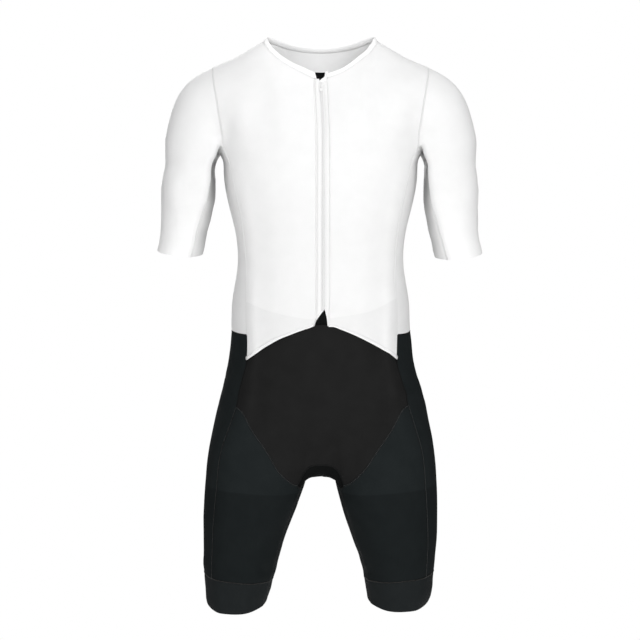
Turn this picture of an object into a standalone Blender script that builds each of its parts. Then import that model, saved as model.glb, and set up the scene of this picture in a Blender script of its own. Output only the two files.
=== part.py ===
"""Triathlon suit: short sleeves, front zip, white top with a free front hem over a black lower half.

Metres, +Z up, the front faces -Y, the wearer's left is +X. The origin is midway between the two
shoulder-neck points. Tables are in millimetres.
"""
import math
from collections import namedtuple

import bpy
import numpy as np

MM = 0.001
LEVEL = 1                # subdivision of the cloth surface
WALL = 1.4               # cloth wall
SEAM_GAP = 0.3           # gap between neighbouring panels
HEM_LIFT = 1.9           # how far the white front stands off the brief under it
ZIP_SIDE = 4.0           # the zip runs this far to +X of the middle
ZIP_BEND = (-68.0, -145.0)           # from nothing at its top, reached at the lower of these heights
ZIP_HALF = 10.0          # half width of the zip strip between the two fronts
COIL_HALF = 2.6
GUARD_HALF = 13.0
BAND_HEIGHT = 8.0        # neckband
SLIDER_ROW = 0.55        # the closed slider's place, by row number
HIP_SHIFT = 2.0          # the hips sit this far to +X of the chest
LEG_LEAN = 7.0           # the leg hems swing this far to -X
SLEEVE_LEAN = 2.4        # and the sleeves this far
SLEEVE_DROP = 2.2        # the +X sleeve hangs this much lower, the other this much higher
RUMP = 15                # row number of the crotch row

# Horizontal sections of the body, from the armpit down. half = half width at the side, front / side /
# back = y of the middle front, the side and the middle back, nf / nb = squareness, dip_f / dip_b = how
# far the middle front and back sink between the legs.
Section = namedtuple("Section", "z half front side back nf nb dip_f dip_b")
BODY = [Section(*r) for r in (
    (-187, 160.0, -113, 4, 108, 2.5, 2.5, 0, 4),
    (-243, 151.5, -118, 4, 105, 2.5, 2.5, 0, 6),
    (-302, 137.5, -113, 2, 93, 2.4, 2.4, 0, 7),
    (-360, 132.5, -106, -1, 83, 2.4, 2.4, 0, 6),
    (-420, 141.5, -105, -1, 85, 2.4, 2.4, 0, 3),
    (-468, 144.0, -106, 1, 96, 2.4, 2.4, 0, 3),
    (-509, 149.0, -107, 4, 109, 2.4, 2.3, 0, 4),
    (-548, 157.0, -107, 6, 119, 2.5, 2.3, 0, 7),
    (-586, 167.5, -105, 8, 125, 2.6, 2.3, 1, 12),
    (-620, 175.5, -102, 8, 127, 2.7, 2.3, 4, 18),
    (-655, 182.0, -98, 7, 124, 2.8, 2.3, 12, 27),
    (-690, 187.0, -93, 5, 117, 2.8, 2.3, 26, 42),
    (-725, 188.5, -88, 4, 106, 2.8, 2.3, 40, 60))]
DIP_WIDTH = 48.0

# Rows of the body below the armpit: height at the middle front, at the front side seam, at the side
# and at the middle back; x of the front and back side seams.
Row = namedtuple("Row", "name front seam side back x_front x_back")
ROWS = [Row(*r) for r in (
    ("armpit", -186, -174, -184, -186, 153.0, 154.0),
    ("chest", -243, -243, -243, -243, 133.0, 136.0),
    ("ribs", -302, -302, -302, -302, 122.0, 122.0),
    ("waist", -360, -360, -360, -360, 117.5, 117.0),
    ("brief_top", -420, -417, -417, -417, 117.0, 121.0),
    ("hip_seam", -437, -468, -467, -464, 116.0, 124.0),
    ("free_hem", -454, -509, -530, -512, 117.5, 129.0))]
# The crotch row, column by column from the middle front (0) to the middle back (13).
CROTCH = [(0, -677), (21, -681), (37, -706), (63, -685), (89, -645), (112, -612), (134, -584),
          (None, -594), (141, -606), (124, -642), (88, -686), (37, -714), (18, -697), (0, -688)]

# The upper body: edge curves (x, y, z) of the front and back, from the top row (0) to the armpit row (5).
NECK_FRONT = [(0, -65, -71), (10, -64.5, -70.5), (38, -57, -58.5), (69, -36, -35), (90, 0, -6.5)]
NECK_BACK = [(90, 0, -6.5), (63, 30, -12), (32, 46, -18), (0, 51, -20)]
SHOULDER = [(90, 0, -6.5), (130, 1, -30), (171, 2, -48)]
MIDDLE_FRONT = [(0, -65, -71), (0, -78, -93), (0, -90, -116), (0, -100, -139), (0, -108, -163), (0, -113, -186)]
MIDDLE_BACK = [(0, 51, -20), (0, 76, -53), (0, 94, -87), (0, 103, -120), (0, 105.5, -153), (0, 104, -186)]
ARMHOLE_FRONT = [(171, 2, -48), (168, -38, -68), (163, -59, -94), (158, -66, -124), (154, -60, -152), (153, -45, -174)]
ARMHOLE_BACK = [(171, 2, -48), (169, 38, -66), (164, 61, -93), (159, 70, -124), (155, 66, -153), (154, 53, -179)]

# Sleeve: 12 lines round the arm, from the underarm (0) over the front to the top (6) and down the back.
SLEEVE_ROWS = 5
SLEEVE_ANGLE = [180, 123, 98, 74, 50, 25, 0, -25, -50, -74, -98, -123]
SLEEVE_HEM = (222.5, 0.0, -342.5)
SLEEVE_HALF = (37.5, 47.0)
SLEEVE_TILT = (0.10, 0.13)           # dz/dx and dz/dy of the hem
SLEEVE_LEAVE = ((14, 0, -9), (96, 0, -25))    # Bezier handles at the underarm and at the top
SLEEVE_ARRIVE = ((-24.0, 0, 67), (-17.5, 0, 113))

# Leg: horizontal sections. inner / outer = x, front / back = y.
Leg = namedtuple("Leg", "z inner outer front back")
LEGS = [Leg(*r) for r in (
    (-584, 4, 167.0, -104, 126),
    (-660, 12, 183.0, -98, 122),
    (-709, 23, 187.6, -91, 111),
    (-742, 33, 189.3, -86, 101),
    (-775, 44.5, 189.8, -82, 92),
    (-807, 56, 189.6, -79, 84),
    (-840, 66.5, 188.4, -75, 77),
    (-862, 71.0, 187.4, -72, 72),
    (-872, 73.0, 184.8, -70, 70),
    (-893, 77.5, 183.6, -66, 66),
    (-918, 82.0, 180.0, -63, 63))]
LEG_ANGLE = [-146, -118, -92, -68, -44, 0, 45, 72, 98, 132, 150, 164, 180, -166, -155]
LEG_ROWS = 6                         # the last one is the band
LEG_SQUARE = 2.15
BAND_SEAM = (-866.5, 0.08, 0.0)      # height at the leg's middle, dz/dx, dz/dy
LEG_HEM = (-903.0, -0.03, 0.17)

# Gusset edge from the front corner to the back corner, between the legs: x, y, z; and its middle.
GUSSET_EDGE = [(30, -44, -706), (26, -22, -704.5), (25, 2, -704), (26, 26, -706), (30, 52, -711)]
GUSSET_MIDDLE = [(0, -51, -693), (0, -26, -700), (0, 2, -702.5), (0, 30, -701), (0, 58, -697)]
GUSSET_FRONT_Y, GUSSET_BACK_Y = (-70, -69, -63), (80, 79, 76)


# ---------------------------------------------------------------- small maths
def curve(knots, x):
    """Smooth interpolation through (x, value) knots sorted by falling x."""
    xs = [-k[0] for k in knots]
    ys = [k[1] for k in knots]
    x = -x
    if x <= xs[0]:
        return ys[0] + (ys[1] - ys[0]) / (xs[1] - xs[0]) * (x - xs[0])
    if x >= xs[-1]:
        return ys[-1] + (ys[-1] - ys[-2]) / (xs[-1] - xs[-2]) * (x - xs[-1])
    i = max(j for j in range(len(xs) - 1) if xs[j] <= x)
    slope = [(ys[j + 1] - ys[j]) / (xs[j + 1] - xs[j]) for j in range(len(xs) - 1)]

    def tangent(j):
        if j == 0:
            return slope[0]
        if j == len(xs) - 1:
            return slope[-1]
        a, b = slope[j - 1], slope[j]
        return 0.0 if a * b <= 0 else 2 * a * b / (a + b)
    h = xs[i + 1] - xs[i]
    t = (x - xs[i]) / h
    return ((2 * t ** 3 - 3 * t ** 2 + 1) * ys[i] + (t ** 3 - 2 * t ** 2 + t) * h * tangent(i)
            + (3 * t ** 2 - 2 * t ** 3) * ys[i + 1] + (t ** 3 - t ** 2) * h * tangent(i + 1))


def body(z, field):
    return curve([(s.z, getattr(s, field)) for s in BODY], z)


def leg(z, field):
    return curve([(s.z, getattr(s, field)) for s in LEGS], z)


def body_y(x, z, back):
    """y of the body's front or back skin at x, z."""
    half, side = body(z, "half"), body(z, "side")
    far = body(z, "back" if back else "front")
    n = body(z, "nb" if back else "nf")
    dip = body(z, "dip_b" if back else "dip_f") * math.exp(-(x / DIP_WIDTH) ** 2)
    reach = max(0.0, 1 - min(1.0, abs(x) / half) ** n) ** (1 / n)
    return side + (far - side) * reach - math.copysign(dip, far)


def lerp(a, b, t):
    return tuple(p + (q - p) * t for p, q in zip(a, b))


def coons(top, bottom, left, right):
    """Grid[row][col] filled in from its four edge curves."""
    def shares(*curves):
        """Mean share of each curve's length at each of its points."""
        sums = []
        for c in curves:
            run = [0.0]
            for a, b in zip(c, c[1:]):
                run.append(run[-1] + math.dist(a, b))
            sums.append([r / run[-1] for r in run])
        return [sum(s) / len(s) for s in zip(*sums)]

    grid = []
    for i, v in enumerate(shares(left, right)):
        line = []
        for j, u in enumerate(shares(top, bottom)):
            a, b = lerp(top[j], bottom[j], v), lerp(left[i], right[i], u)
            c = lerp(lerp(top[0], top[-1], u), lerp(bottom[0], bottom[-1], u), v)
            line.append(tuple(p + q - r for p, q, r in zip(a, b, c)))
        grid.append(line)
    return grid


# ---------------------------------------------------------------- the cage
def body_point(col, row):
    """Target point of the body grid, rows 5 (armpit) to 15 (crotch), columns 0 to 13."""
    split = RUMP - 4
    if row == RUMP:
        x, z = CROTCH[col]
        if col == 7:
            return body(z, "half"), body(z, "side"), z
        if col <= 2:
            return x, GUSSET_FRONT_Y[col], z
        if col >= 11:
            return x, GUSSET_BACK_Y[13 - col], z
        return x, body_y(x, z, col > 7), z
    if row > split:
        a, b = body_point(col, split), body_point(col, RUMP)
        t = (row - split) / 4
        x, z = a[0] + (b[0] - a[0]) * t, a[2] + (b[2] - a[2]) * t
    else:
        r = ROWS[row - 5]
        if col <= 6:
            x = (0.0, 10.0)[col] if col < 2 else 10 + (r.x_front - 10) * (col - 1) / 5
            z = r.front + (r.seam - r.front) * (x / r.x_front) ** 1.8
        elif col == 7:
            x, z = body(r.side, "half"), r.side
        else:
            share = (1.0, 0.84, 0.64, 0.43, 0.22, 0.0)[col - 8]
            x = r.x_back * share
            z = r.back + (r.side - r.back) * share ** 2
    if col == 7:
        return body(z, "half"), body(z, "side"), z
    if row == 5 and col == 6:
        return ARMHOLE_FRONT[-1]
    if row == 5 and col == 8:
        return ARMHOLE_BACK[-1]
    return x, body_y(x, z, col > 7), z


def leg_point(n, j, start):
    """Target point of leg line n, row j; start is the same line's point on the crotch row."""
    if j <= LEG_ROWS - 1:
        mid = BAND_SEAM
        share = j / (LEG_ROWS - 1)
    else:
        mid, share = LEG_HEM, 1.0
    angle = math.radians(LEG_ANGLE[n])
    c, s = math.cos(angle), math.sin(angle)
    ex = math.copysign(abs(c) ** (2 / LEG_SQUARE), c)
    ey = math.copysign(abs(s) ** (2 / LEG_SQUARE), s)
    low = mid[0] + mid[1] * 56 * ex + mid[2] * 65 * ey
    z = start[2] + (low - start[2]) * share
    inner, outer = leg(z, "inner"), leg(z, "outer")
    front, back = leg(z, "front"), leg(z, "back")
    x = (inner + outer) / 2 + (outer - inner) / 2 * ex
    y = (ey * back) if ey > 0 else (-ey * front)
    # Each line leaves the body's shape at its own pace: fast at the side and inside, slower between.
    pace_x = 4.5 if n in (4, 5, 6) else 5.0 if n >= 10 else 3.0 if n in (0, 9) else 2.0
    pace_y = 2.5 if n >= 10 else 2.0
    return (start[0] + (x - start[0]) * min(1.0, share * pace_x),
            start[1] + (y - start[1]) * min(1.0, share * pace_y), z)


def sleeve_point(k, j, start):
    angle = math.radians(SLEEVE_ANGLE[k])
    hx = SLEEVE_HALF[0] * math.cos(angle)
    hy = -SLEEVE_HALF[1] * math.sin(angle)
    end = (SLEEVE_HEM[0] + hx, SLEEVE_HEM[1] + hy,
           SLEEVE_HEM[2] + SLEEVE_TILT[0] * hx + SLEEVE_TILT[1] * hy)
    w = (1 - math.cos(math.pi * k / 6)) / 2
    p1 = tuple(a + b for a, b in zip(start, lerp(*SLEEVE_LEAVE, w)))
    p2 = tuple(a + b for a, b in zip(end, lerp(*SLEEVE_ARRIVE, w)))
    t = j / SLEEVE_ROWS
    c = ((1 - t) ** 3, 3 * t * (1 - t) ** 2, 3 * t * t * (1 - t), t ** 3)
    return tuple(c[0] * a + c[1] * b + c[2] * d + c[3] * e for a, b, d, e in zip(start, p1, p2, end))


class Cage:
    """Quads with a panel tag; vertices are target points that the smooth surface passes through."""

    def __init__(self):
        self.index, self.points, self.coords, self.faces, self.tags = {}, [], [], [], []

    def vertex(self, key, point, coord=(0, 0)):
        if key not in self.index:
            self.index[key] = len(self.points)
            self.points.append(point)
            self.coords.append(coord)
        return self.index[key]

    def quad(self, side, corners, tag):
        self.faces.append(corners if side > 0 else corners[::-1])
        self.tags.append(tag)


def build_cage():
    cage = Cage()
    top_front = NECK_FRONT + SHOULDER[1:]
    top_back = SHOULDER[::-1] + NECK_BACK[1:]
    low_front = [body_point(c, 5) for c in range(7)]
    low_back = [body_point(c, 5) for c in range(8, 14)]
    upper_front = coons(top_front, low_front, MIDDLE_FRONT, ARMHOLE_FRONT)
    upper_back = coons(top_back, low_back, ARMHOLE_BACK, MIDDLE_BACK)

    def grid(side, col, row):
        """Vertex of the body grid on one side."""
        if row == 0 and col in (8, 9, 10):
            col = {8: 6, 9: 5, 10: 4}[col]
        if row < 5 and col <= 6:
            p = upper_front[row][col]
        elif row < 5:
            p = upper_back[row][col - 8]
        else:
            p = body_point(col, row)
        shared = col in (0, 13)
        return cage.vertex(("body", 0 if shared else side, col, row), (p[0] * side, p[1], p[2]), (col * side, row))

    def sleeve(side, k, j):
        k %= 12
        hole = grid(side, 7, 5) if k == 0 else grid(side, 6, 6 - k) if k <= 6 else grid(side, 8, k - 6)
        if j == 0:
            return hole
        s = cage.points[hole]
        p = sleeve_point(k, j, (abs(s[0]), s[1], s[2]))
        return cage.vertex(("sleeve", side, k, j), (p[0] * side, p[1], p[2]), (k, 30 + j))

    def gusset(side, col, i):
        if i == 0:
            return grid(side, col, RUMP)
        if i == 6:
            return grid(side, 13 - col, RUMP)
        edge, mid = GUSSET_EDGE[i - 1], GUSSET_MIDDLE[i - 1]
        p = (mid, lerp(mid, edge, 0.42), edge)[col]
        return cage.vertex(("gusset", 0 if col == 0 else side, col, i), (p[0] * side, p[1], p[2]), (col, 40 + i))

    def trouser(side, n, j):
        n %= 15
        start = grid(side, n + 2, RUMP) if n < 10 else gusset(side, 2, 15 - n)
        if j == 0:
            return start
        s = cage.points[start]
        p = leg_point(n, j, (abs(s[0]), s[1], s[2]))
        return cage.vertex(("leg", side, n, j), (p[0] * side, p[1], p[2]), (n, 50 + j))

    for side, hand in ((1, "left"), (-1, "right")):
        for row in range(0, RUMP):
            for col in range(13):
                if row < 5 and col in (6, 7):
                    continue
                if col < 6:
                    if row < 11:
                        tag = "zip" if col == 0 else "front_" + hand
                    else:
                        tag = "brief_front"
                    if row in (9, 10):
                        tag += "+brief_front"
                elif col in (6, 7):
                    tag = ("side_" if row < 10 else "hip_side_") + hand
                else:
                    tag = "back" if row < 10 else "seat_" + hand
                cage.quad(side, [grid(side, col, row), grid(side, col, row + 1),
                                 grid(side, col + 1, row + 1), grid(side, col + 1, row)], tag)
        for j in range(SLEEVE_ROWS):
            for k in range(12):
                tag = ("undersleeve_" if k in (0, 11) else "sleeve_") + hand
                cage.quad(side, [sleeve(side, k, j), sleeve(side, k, j + 1),
                                 sleeve(side, k + 1, j + 1), sleeve(side, k + 1, j)], tag)
        for i in range(6):
            for col in range(2):
                cage.quad(side, [gusset(side, col, i), gusset(side, col, i + 1),
                                 gusset(side, col + 1, i + 1), gusset(side, col + 1, i)], "gusset")
        for j in range(LEG_ROWS):
            for n in range(15):
                if j == LEG_ROWS - 1:
                    tag = "leg_band_" + hand
                elif n in (4, 5):
                    tag = "hip_side_" + hand
                elif 6 <= n <= 11:
                    tag = "seat_" + hand
                else:
                    tag = "thigh_front_" + hand
                cage.quad(side, [trouser(side, n, j), trouser(side, n, j + 1),
                                 trouser(side, n + 1, j + 1), trouser(side, n + 1, j)], tag)
    return cage


# ---------------------------------------------------------------- Catmull-Clark
def topology(faces, count):
    """Edge map and, per vertex, its edge neighbours, diagonals and boundary neighbours."""
    edges = {}
    for f, face in enumerate(faces):
        for a, b in zip(face, list(face[1:]) + [face[0]]):
            edges.setdefault((min(a, b), max(a, b)), []).append(f)
    near = [set() for _ in range(count)]
    diagonal = [[] for _ in range(count)]
    rim = [[] for _ in range(count)]
    for (a, b), fs in edges.items():
        near[a].add(b)
        near[b].add(a)
        if len(fs) == 1:
            rim[a].append(b)
            rim[b].append(a)
    for face in faces:
        for i in range(4):
            diagonal[face[i]].append(face[(i + 2) % 4])
    return edges, near, diagonal, rim


def limit_matrix(faces, count):
    _, near, diagonal, rim = topology(faces, count)
    m = np.zeros((count, count))
    for v in range(count):
        if rim[v]:
            m[v, v] = 4 / 6
            for o in rim[v]:
                m[v, o] += 1 / 6
            continue
        n = len(near[v])
        m[v, v] = n * n / (n * (n + 5))
        for o in near[v]:
            m[v, o] += 4 / (n * (n + 5))
        for o in diagonal[v]:
            m[v, o] += 1 / (n * (n + 5))
    return m


def to_limit(points, faces):
    _, near, diagonal, rim = topology(faces, len(points))
    out = np.empty_like(points)
    for v in range(len(points)):
        if rim[v]:
            out[v] = (4 * points[v] + points[rim[v]].sum(0)) / 6
        else:
            n = len(near[v])
            out[v] = (n * n * points[v] + 4 * points[list(near[v])].sum(0)
                      + points[diagonal[v]].sum(0)) / (n * (n + 5))
    return out


def subdivide(points, coords, faces, tags):
    edges, near, _, rim = topology(faces, len(points))
    face_points = np.array([points[list(f)].mean(0) for f in faces])
    face_coords = np.array([coords[list(f)].mean(0) for f in faces])
    base, at = len(points), {}
    edge_points, edge_coords = [], []
    sums = np.zeros_like(points)
    mids = np.zeros_like(points)
    valence = np.zeros(len(points))
    for f, face in enumerate(faces):
        for v in face:
            sums[v] += face_points[f]
            valence[v] += 1
    for n, ((a, b), fs) in enumerate(edges.items()):
        at[(a, b)] = base + n
        mid = (points[a] + points[b]) / 2
        mids[a] += mid
        mids[b] += mid
        edge_points.append(mid if len(fs) == 1 else (mid * 2 + face_points[fs].sum(0)) / 4)
        edge_coords.append((coords[a] + coords[b]) / 2)
    moved = np.empty_like(points)
    for v in range(len(points)):
        if rim[v]:
            moved[v] = (6 * points[v] + points[rim[v]].sum(0)) / 8
        else:
            n = valence[v]
            moved[v] = (sums[v] / n + 2 * mids[v] / n + (n - 3) * points[v]) / n
    first_face = base + len(edges)
    new_faces, new_tags = [], []
    for f, face in enumerate(faces):
        for i in range(4):
            a, b, z = face[i], face[(i + 1) % 4], face[i - 1]
            new_faces.append((a, at[(min(a, b), max(a, b))], first_face + f, at[(min(a, z), max(a, z))]))
            new_tags.append(tags[f])
    return (np.vstack([moved, edge_points, face_points]),
            np.vstack([coords, edge_coords, face_coords]), new_faces, new_tags)


def pose(points):
    """The zip's offset and the slight swing of the legs and sleeves."""
    p = points.copy()
    x, y, z = p[:, 0], p[:, 1], p[:, 2]
    aside = np.interp(-z, (-ZIP_BEND[0], -ZIP_BEND[1], 420, 510), (0, ZIP_SIDE, ZIP_SIDE, 0))
    p[:, 0] += np.where(y < 0, aside * np.exp(-(x / 60) ** 2), 0) * np.clip(-y / 40, 0, 1)
    p[:, 0] += HIP_SHIFT * np.clip((-z - 500) / 60, 0, 1) - LEG_LEAN * np.clip((-z - 700) / 210, 0, 1.1) ** 1.2
    sleeve = np.clip((np.abs(x) - 158) / 8, 0, 1) * np.clip((z + 400) / 40, 0, 1)
    p[:, 0] -= SLEEVE_LEAN * sleeve * np.clip((-z - 170) / 60, 0, 1)
    p[:, 2] -= SLEEVE_DROP * sleeve * np.sign(x) * np.clip((-z - 200) / 100, 0, 1)
    return p


class Surface:
    """The whole garment's smooth skin at one level, with vertex normals."""

    def __init__(self, level):
        cage = build_cage()
        target = np.array(cage.points, float)
        points = np.linalg.solve(limit_matrix(cage.faces, len(target)), target)
        coords, faces, tags = np.array(cage.coords, float), cage.faces, cage.tags
        for _ in range(level):
            points, coords, faces, tags = subdivide(points, coords, faces, tags)
        self.points = pose(to_limit(points, faces))
        self.coords, self.faces, self.tags = coords, [tuple(f) for f in faces], tags
        p, f = self.points, np.array(self.faces)
        face_normal = np.cross(p[f[:, 2]] - p[f[:, 0]], p[f[:, 3]] - p[f[:, 1]])
        normal = np.zeros_like(p)
        for i in range(4):
            np.add.at(normal, f[:, i], face_normal)
        self.normals = normal / np.linalg.norm(normal, axis=1)[:, None]
        used = {}
        for face in self.faces:
            for a, b in zip(face, face[1:] + face[:1]):
                key = (min(a, b), max(a, b))
                used[key] = used.get(key, 0) + 1
        self.free = {v for e, c in used.items() if c == 1 for v in e}
        self.free_edges = {e for e, c in used.items() if c == 1}


# ---------------------------------------------------------------- solids
def smooth_step(t):
    t = min(1.0, max(0.0, t))
    return t * t * (3 - 2 * t)


def lift(v):
    """How far the white front stands off the main layer, by row number."""
    return HEM_LIFT * smooth_step((v - 7.6) / 1.4)


def make_object(name, points, faces, material, collection):
    mesh = bpy.data.meshes.new(name)
    mesh.from_pydata([tuple(p) for p in np.asarray(points) * MM], [], faces)
    mesh.validate()
    mesh.materials.append(material)
    obj = bpy.data.objects.new(name, mesh)
    collection.objects.link(obj)
    return obj


def panel(surface, tag, thickness=WALL, lifted=False):
    """Closed wall over the faces whose tag names this panel. Seam edges stop half a gap short."""
    faces = [f for f, t in zip(surface.faces, surface.tags) if tag in t.split("+")]
    rim = {}
    for f in faces:
        for a, b in zip(f, f[1:] + f[:1]):
            if (b, a) in rim:
                del rim[(b, a)]
            else:
                rim[(a, b)] = True
    inward = {}
    for a, b in rim:
        key = (min(a, b), max(a, b))
        if key in surface.free_edges:
            continue
        for v in (a, b):
            d = np.cross(surface.normals[v], surface.points[b] - surface.points[a])
            inward.setdefault(v, []).append(d / np.linalg.norm(d))
    verts = sorted({v for f in faces for v in f})
    place = {v: i for i, v in enumerate(verts)}
    outer, inner = [], []
    for v in verts:
        p, n = surface.points[v].copy(), surface.normals[v]
        if v in inward:
            d = sum(inward[v])
            size = np.linalg.norm(d)
            if size > 0.3:
                d = d / size
                cos = max(0.5, float(np.dot(d, inward[v][0])))
                p += d * (SEAM_GAP / 2) / cos
        up = lift(surface.coords[v][1]) if lifted else 0.0
        outer.append(p + n * up)
        inner.append(p + n * (up - thickness))
    count = len(verts)
    out = [tuple(place[v] for v in f) for f in faces]
    solid = out + [tuple(i + count for i in reversed(f)) for f in out]
    for a, b in rim:            # both panels at a seam split their edge quads the same way
        oa, ob, ia, ib = place[a], place[b], place[a] + count, place[b] + count
        solid += [(ob, oa, ib), (oa, ia, ib)] if a < b else [(ob, oa, ia), (ob, ia, ib)]
    return outer + inner, solid


def strip(stations, closed=False):
    """Closed solid through a list of equal polygons (sections), capped at both ends."""
    n = len(stations[0])
    points = [p for s in stations for p in s]
    faces = []
    for i in range(len(stations) - 1):
        for j in range(n):
            a, b = i * n + j, i * n + (j + 1) % n
            faces.append((a, b, b + n, a + n))
    faces.append(tuple(reversed(range(n))))
    faces.append(tuple((len(stations) - 1) * n + j for j in range(n)))
    return points, outward(points, faces)


def outward(points, faces):
    """The faces, turned round if they enclose a negative volume."""
    volume = sum(np.dot(points[f[0]], np.cross(points[f[i]], points[f[i + 1]]))
                 for f in faces for i in range(1, len(f) - 1))
    return faces if volume > 0 else [tuple(reversed(f)) for f in faces]


class Middle:
    """The middle front as rows of points across the zip, by row number."""

    def __init__(self, surface):
        self.rows = {}
        for v, (col, row) in enumerate(surface.coords):
            if abs(col) <= 2.01 and row <= 11.01 and surface.points[v][1] < 0:
                self.rows.setdefault(round(row, 4), []).append((col, v))
        self.surface = surface
        for line in self.rows.values():
            line.sort()

    def at(self, row, x, off):
        """Point at distance x from the zip's middle, moved out by off."""
        rows = sorted(self.rows)
        col = x / ZIP_HALF if abs(x) <= ZIP_HALF else math.copysign(1 + (abs(x) - ZIP_HALF) / 27, x)
        low = max([r for r in rows if r <= row + 1e-6])
        high = min([r for r in rows if r >= row - 1e-6])
        t = 0.0 if high == low else (row - low) / (high - low)

        def across(r):
            line = self.rows[r]
            s = self.surface
            i = max([j for j in range(len(line) - 1) if line[j][0] <= col] or [0])
            a, b = line[i], line[i + 1]
            k = (col - a[0]) / (b[0] - a[0])
            p = s.points[a[1]] * (1 - k) + s.points[b[1]] * k
            n = s.normals[a[1]] * (1 - k) + s.normals[b[1]] * k
            return p + n / np.linalg.norm(n) * (off + lift(r))
        return across(low) * (1 - t) + across(high) * t


def zip_strip(middle, rows, left, right, top, bottom):
    """Flat strip down the middle front. left and right give x by row number."""
    stations = []
    for r in rows:
        a, b = left(r), right(r)
        stations.append([middle.at(r, a, top), middle.at(r, b, top), middle.at(r, b, bottom), middle.at(r, a, bottom)])
    return strip(stations)


def neck_chain(surface):
    """Neckline vertices from the zip's +X side round the back to its -X side."""
    nxt = {}
    for a, b in surface.free_edges:
        nxt.setdefault(a, []).append(b)
        nxt.setdefault(b, []).append(a)
    corner = {col: v for v in surface.free for col in (1, -1)
              if abs(surface.coords[v][0] - col) < 1e-6 and surface.coords[v][1] == 0}
    start, end = corner[1], corner[-1]
    chain = [start]
    step = max(nxt[start], key=lambda v: surface.points[v][0])
    while True:
        chain.append(step)
        if step == end:
            return chain
        step = next(v for v in nxt[step] if v != chain[-2])


def neckband(surface):
    inward = {}
    for f in surface.faces:
        for a, b in zip(f, f[1:] + f[:1]):
            if (min(a, b), max(a, b)) in surface.free_edges:
                for v in (a, b):
                    d = np.cross(surface.normals[v], surface.points[b] - surface.points[a])
                    inward.setdefault(v, []).append(d / np.linalg.norm(d))
    chain = neck_chain(surface)
    stations = []
    for v in chain:
        p, n = surface.points[v], surface.normals[v]
        up = -sum(inward[v])
        up = up / np.linalg.norm(up)
        up = up + np.array((0, 0, 0.35))
        up /= np.linalg.norm(up)
        side = n - up * np.dot(n, up)
        side /= np.linalg.norm(side)
        low = p + up * SEAM_GAP - side * WALL / 2
        section = [(0, 0.75), (0.5, 1.05), (0.92, 0.85), (1.0, 0.0), (0.92, -0.85), (0.5, -1.05), (0, -0.75)]
        stations.append([low + up * BAND_HEIGHT * h + side * w for h, w in section])
    return strip(stations)


def blocks(xs, ys, zs, filled, frame):
    """Closed solid from the filled cells of a small box grid, set in frame(x, y, z)."""
    index, faces = {}, []
    sides = (((1, 0, 0), ((1, 0, 0), (1, 1, 0), (1, 1, 1), (1, 0, 1))),
             ((-1, 0, 0), ((0, 0, 0), (0, 0, 1), (0, 1, 1), (0, 1, 0))),
             ((0, 1, 0), ((0, 1, 0), (0, 1, 1), (1, 1, 1), (1, 1, 0))),
             ((0, -1, 0), ((0, 0, 0), (1, 0, 0), (1, 0, 1), (0, 0, 1))),
             ((0, 0, 1), ((0, 0, 1), (1, 0, 1), (1, 1, 1), (0, 1, 1))),
             ((0, 0, -1), ((0, 0, 0), (0, 1, 0), (1, 1, 0), (1, 0, 0))))
    for cell in filled:
        for step, corners in sides:
            if tuple(c + d for c, d in zip(cell, step)) in filled:
                continue
            faces.append(tuple(index.setdefault(tuple(c + d for c, d in zip(cell, corner)), len(index))
                               for corner in corners))
    points = [frame(xs[i], ys[j], zs[k]) for i, j, k in index]
    return points, outward(points, faces)


def zip_frame(middle, row):
    """Maps (x, up, out) to a place on the coil at a row."""
    origin = middle.at(row, 0, 0.5)
    up = middle.at(row - 0.2, 0, 0.5) - middle.at(row + 0.2, 0, 0.5)
    up[0] = 0
    up /= np.linalg.norm(up)
    out = np.array((0, -up[2], up[1]))
    return lambda x, u, n: origin + np.array((x, 0, 0)) + up * u + out * n


def slider(frame):
    """Body plate with a lengthwise bridge."""
    xs, us, ns = (-3.4, -0.9, 0.9, 3.4), (-4.4, -3.0, -2.0, 2.0, 3.0, 4.4), (0.3, 1.5, 3.1, 3.9)
    filled = {(i, j, 0) for i in range(3) for j in range(5)}
    filled |= {(1, 1, 1), (1, 3, 1), (1, 1, 2), (1, 2, 2), (1, 3, 2)}
    return blocks(xs, us, ns, filled, frame)


def pull(frame):
    """Tab hanging from a cross bar under the slider's bridge."""
    xs, us, ns = (-2.5, -1.5, 1.5, 2.5), (-9.5, -3.6, -0.45, 0.45), (1.85, 2.75)
    filled = {(i, j, 0) for i in range(3) for j in range(3)} - {(1, 1, 0)}
    return blocks(xs, us, ns, filled, frame)


# ---------------------------------------------------------------- materials
def material(name, colour, rough):
    m = bpy.data.materials.new(name)
    m.use_nodes = True
    node = m.node_tree.nodes["Principled BSDF"]
    node.inputs["Base Color"].default_value = (*[(c / 255) ** 2.2 for c in colour], 1)
    node.inputs["Roughness"].default_value = rough
    return m


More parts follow.
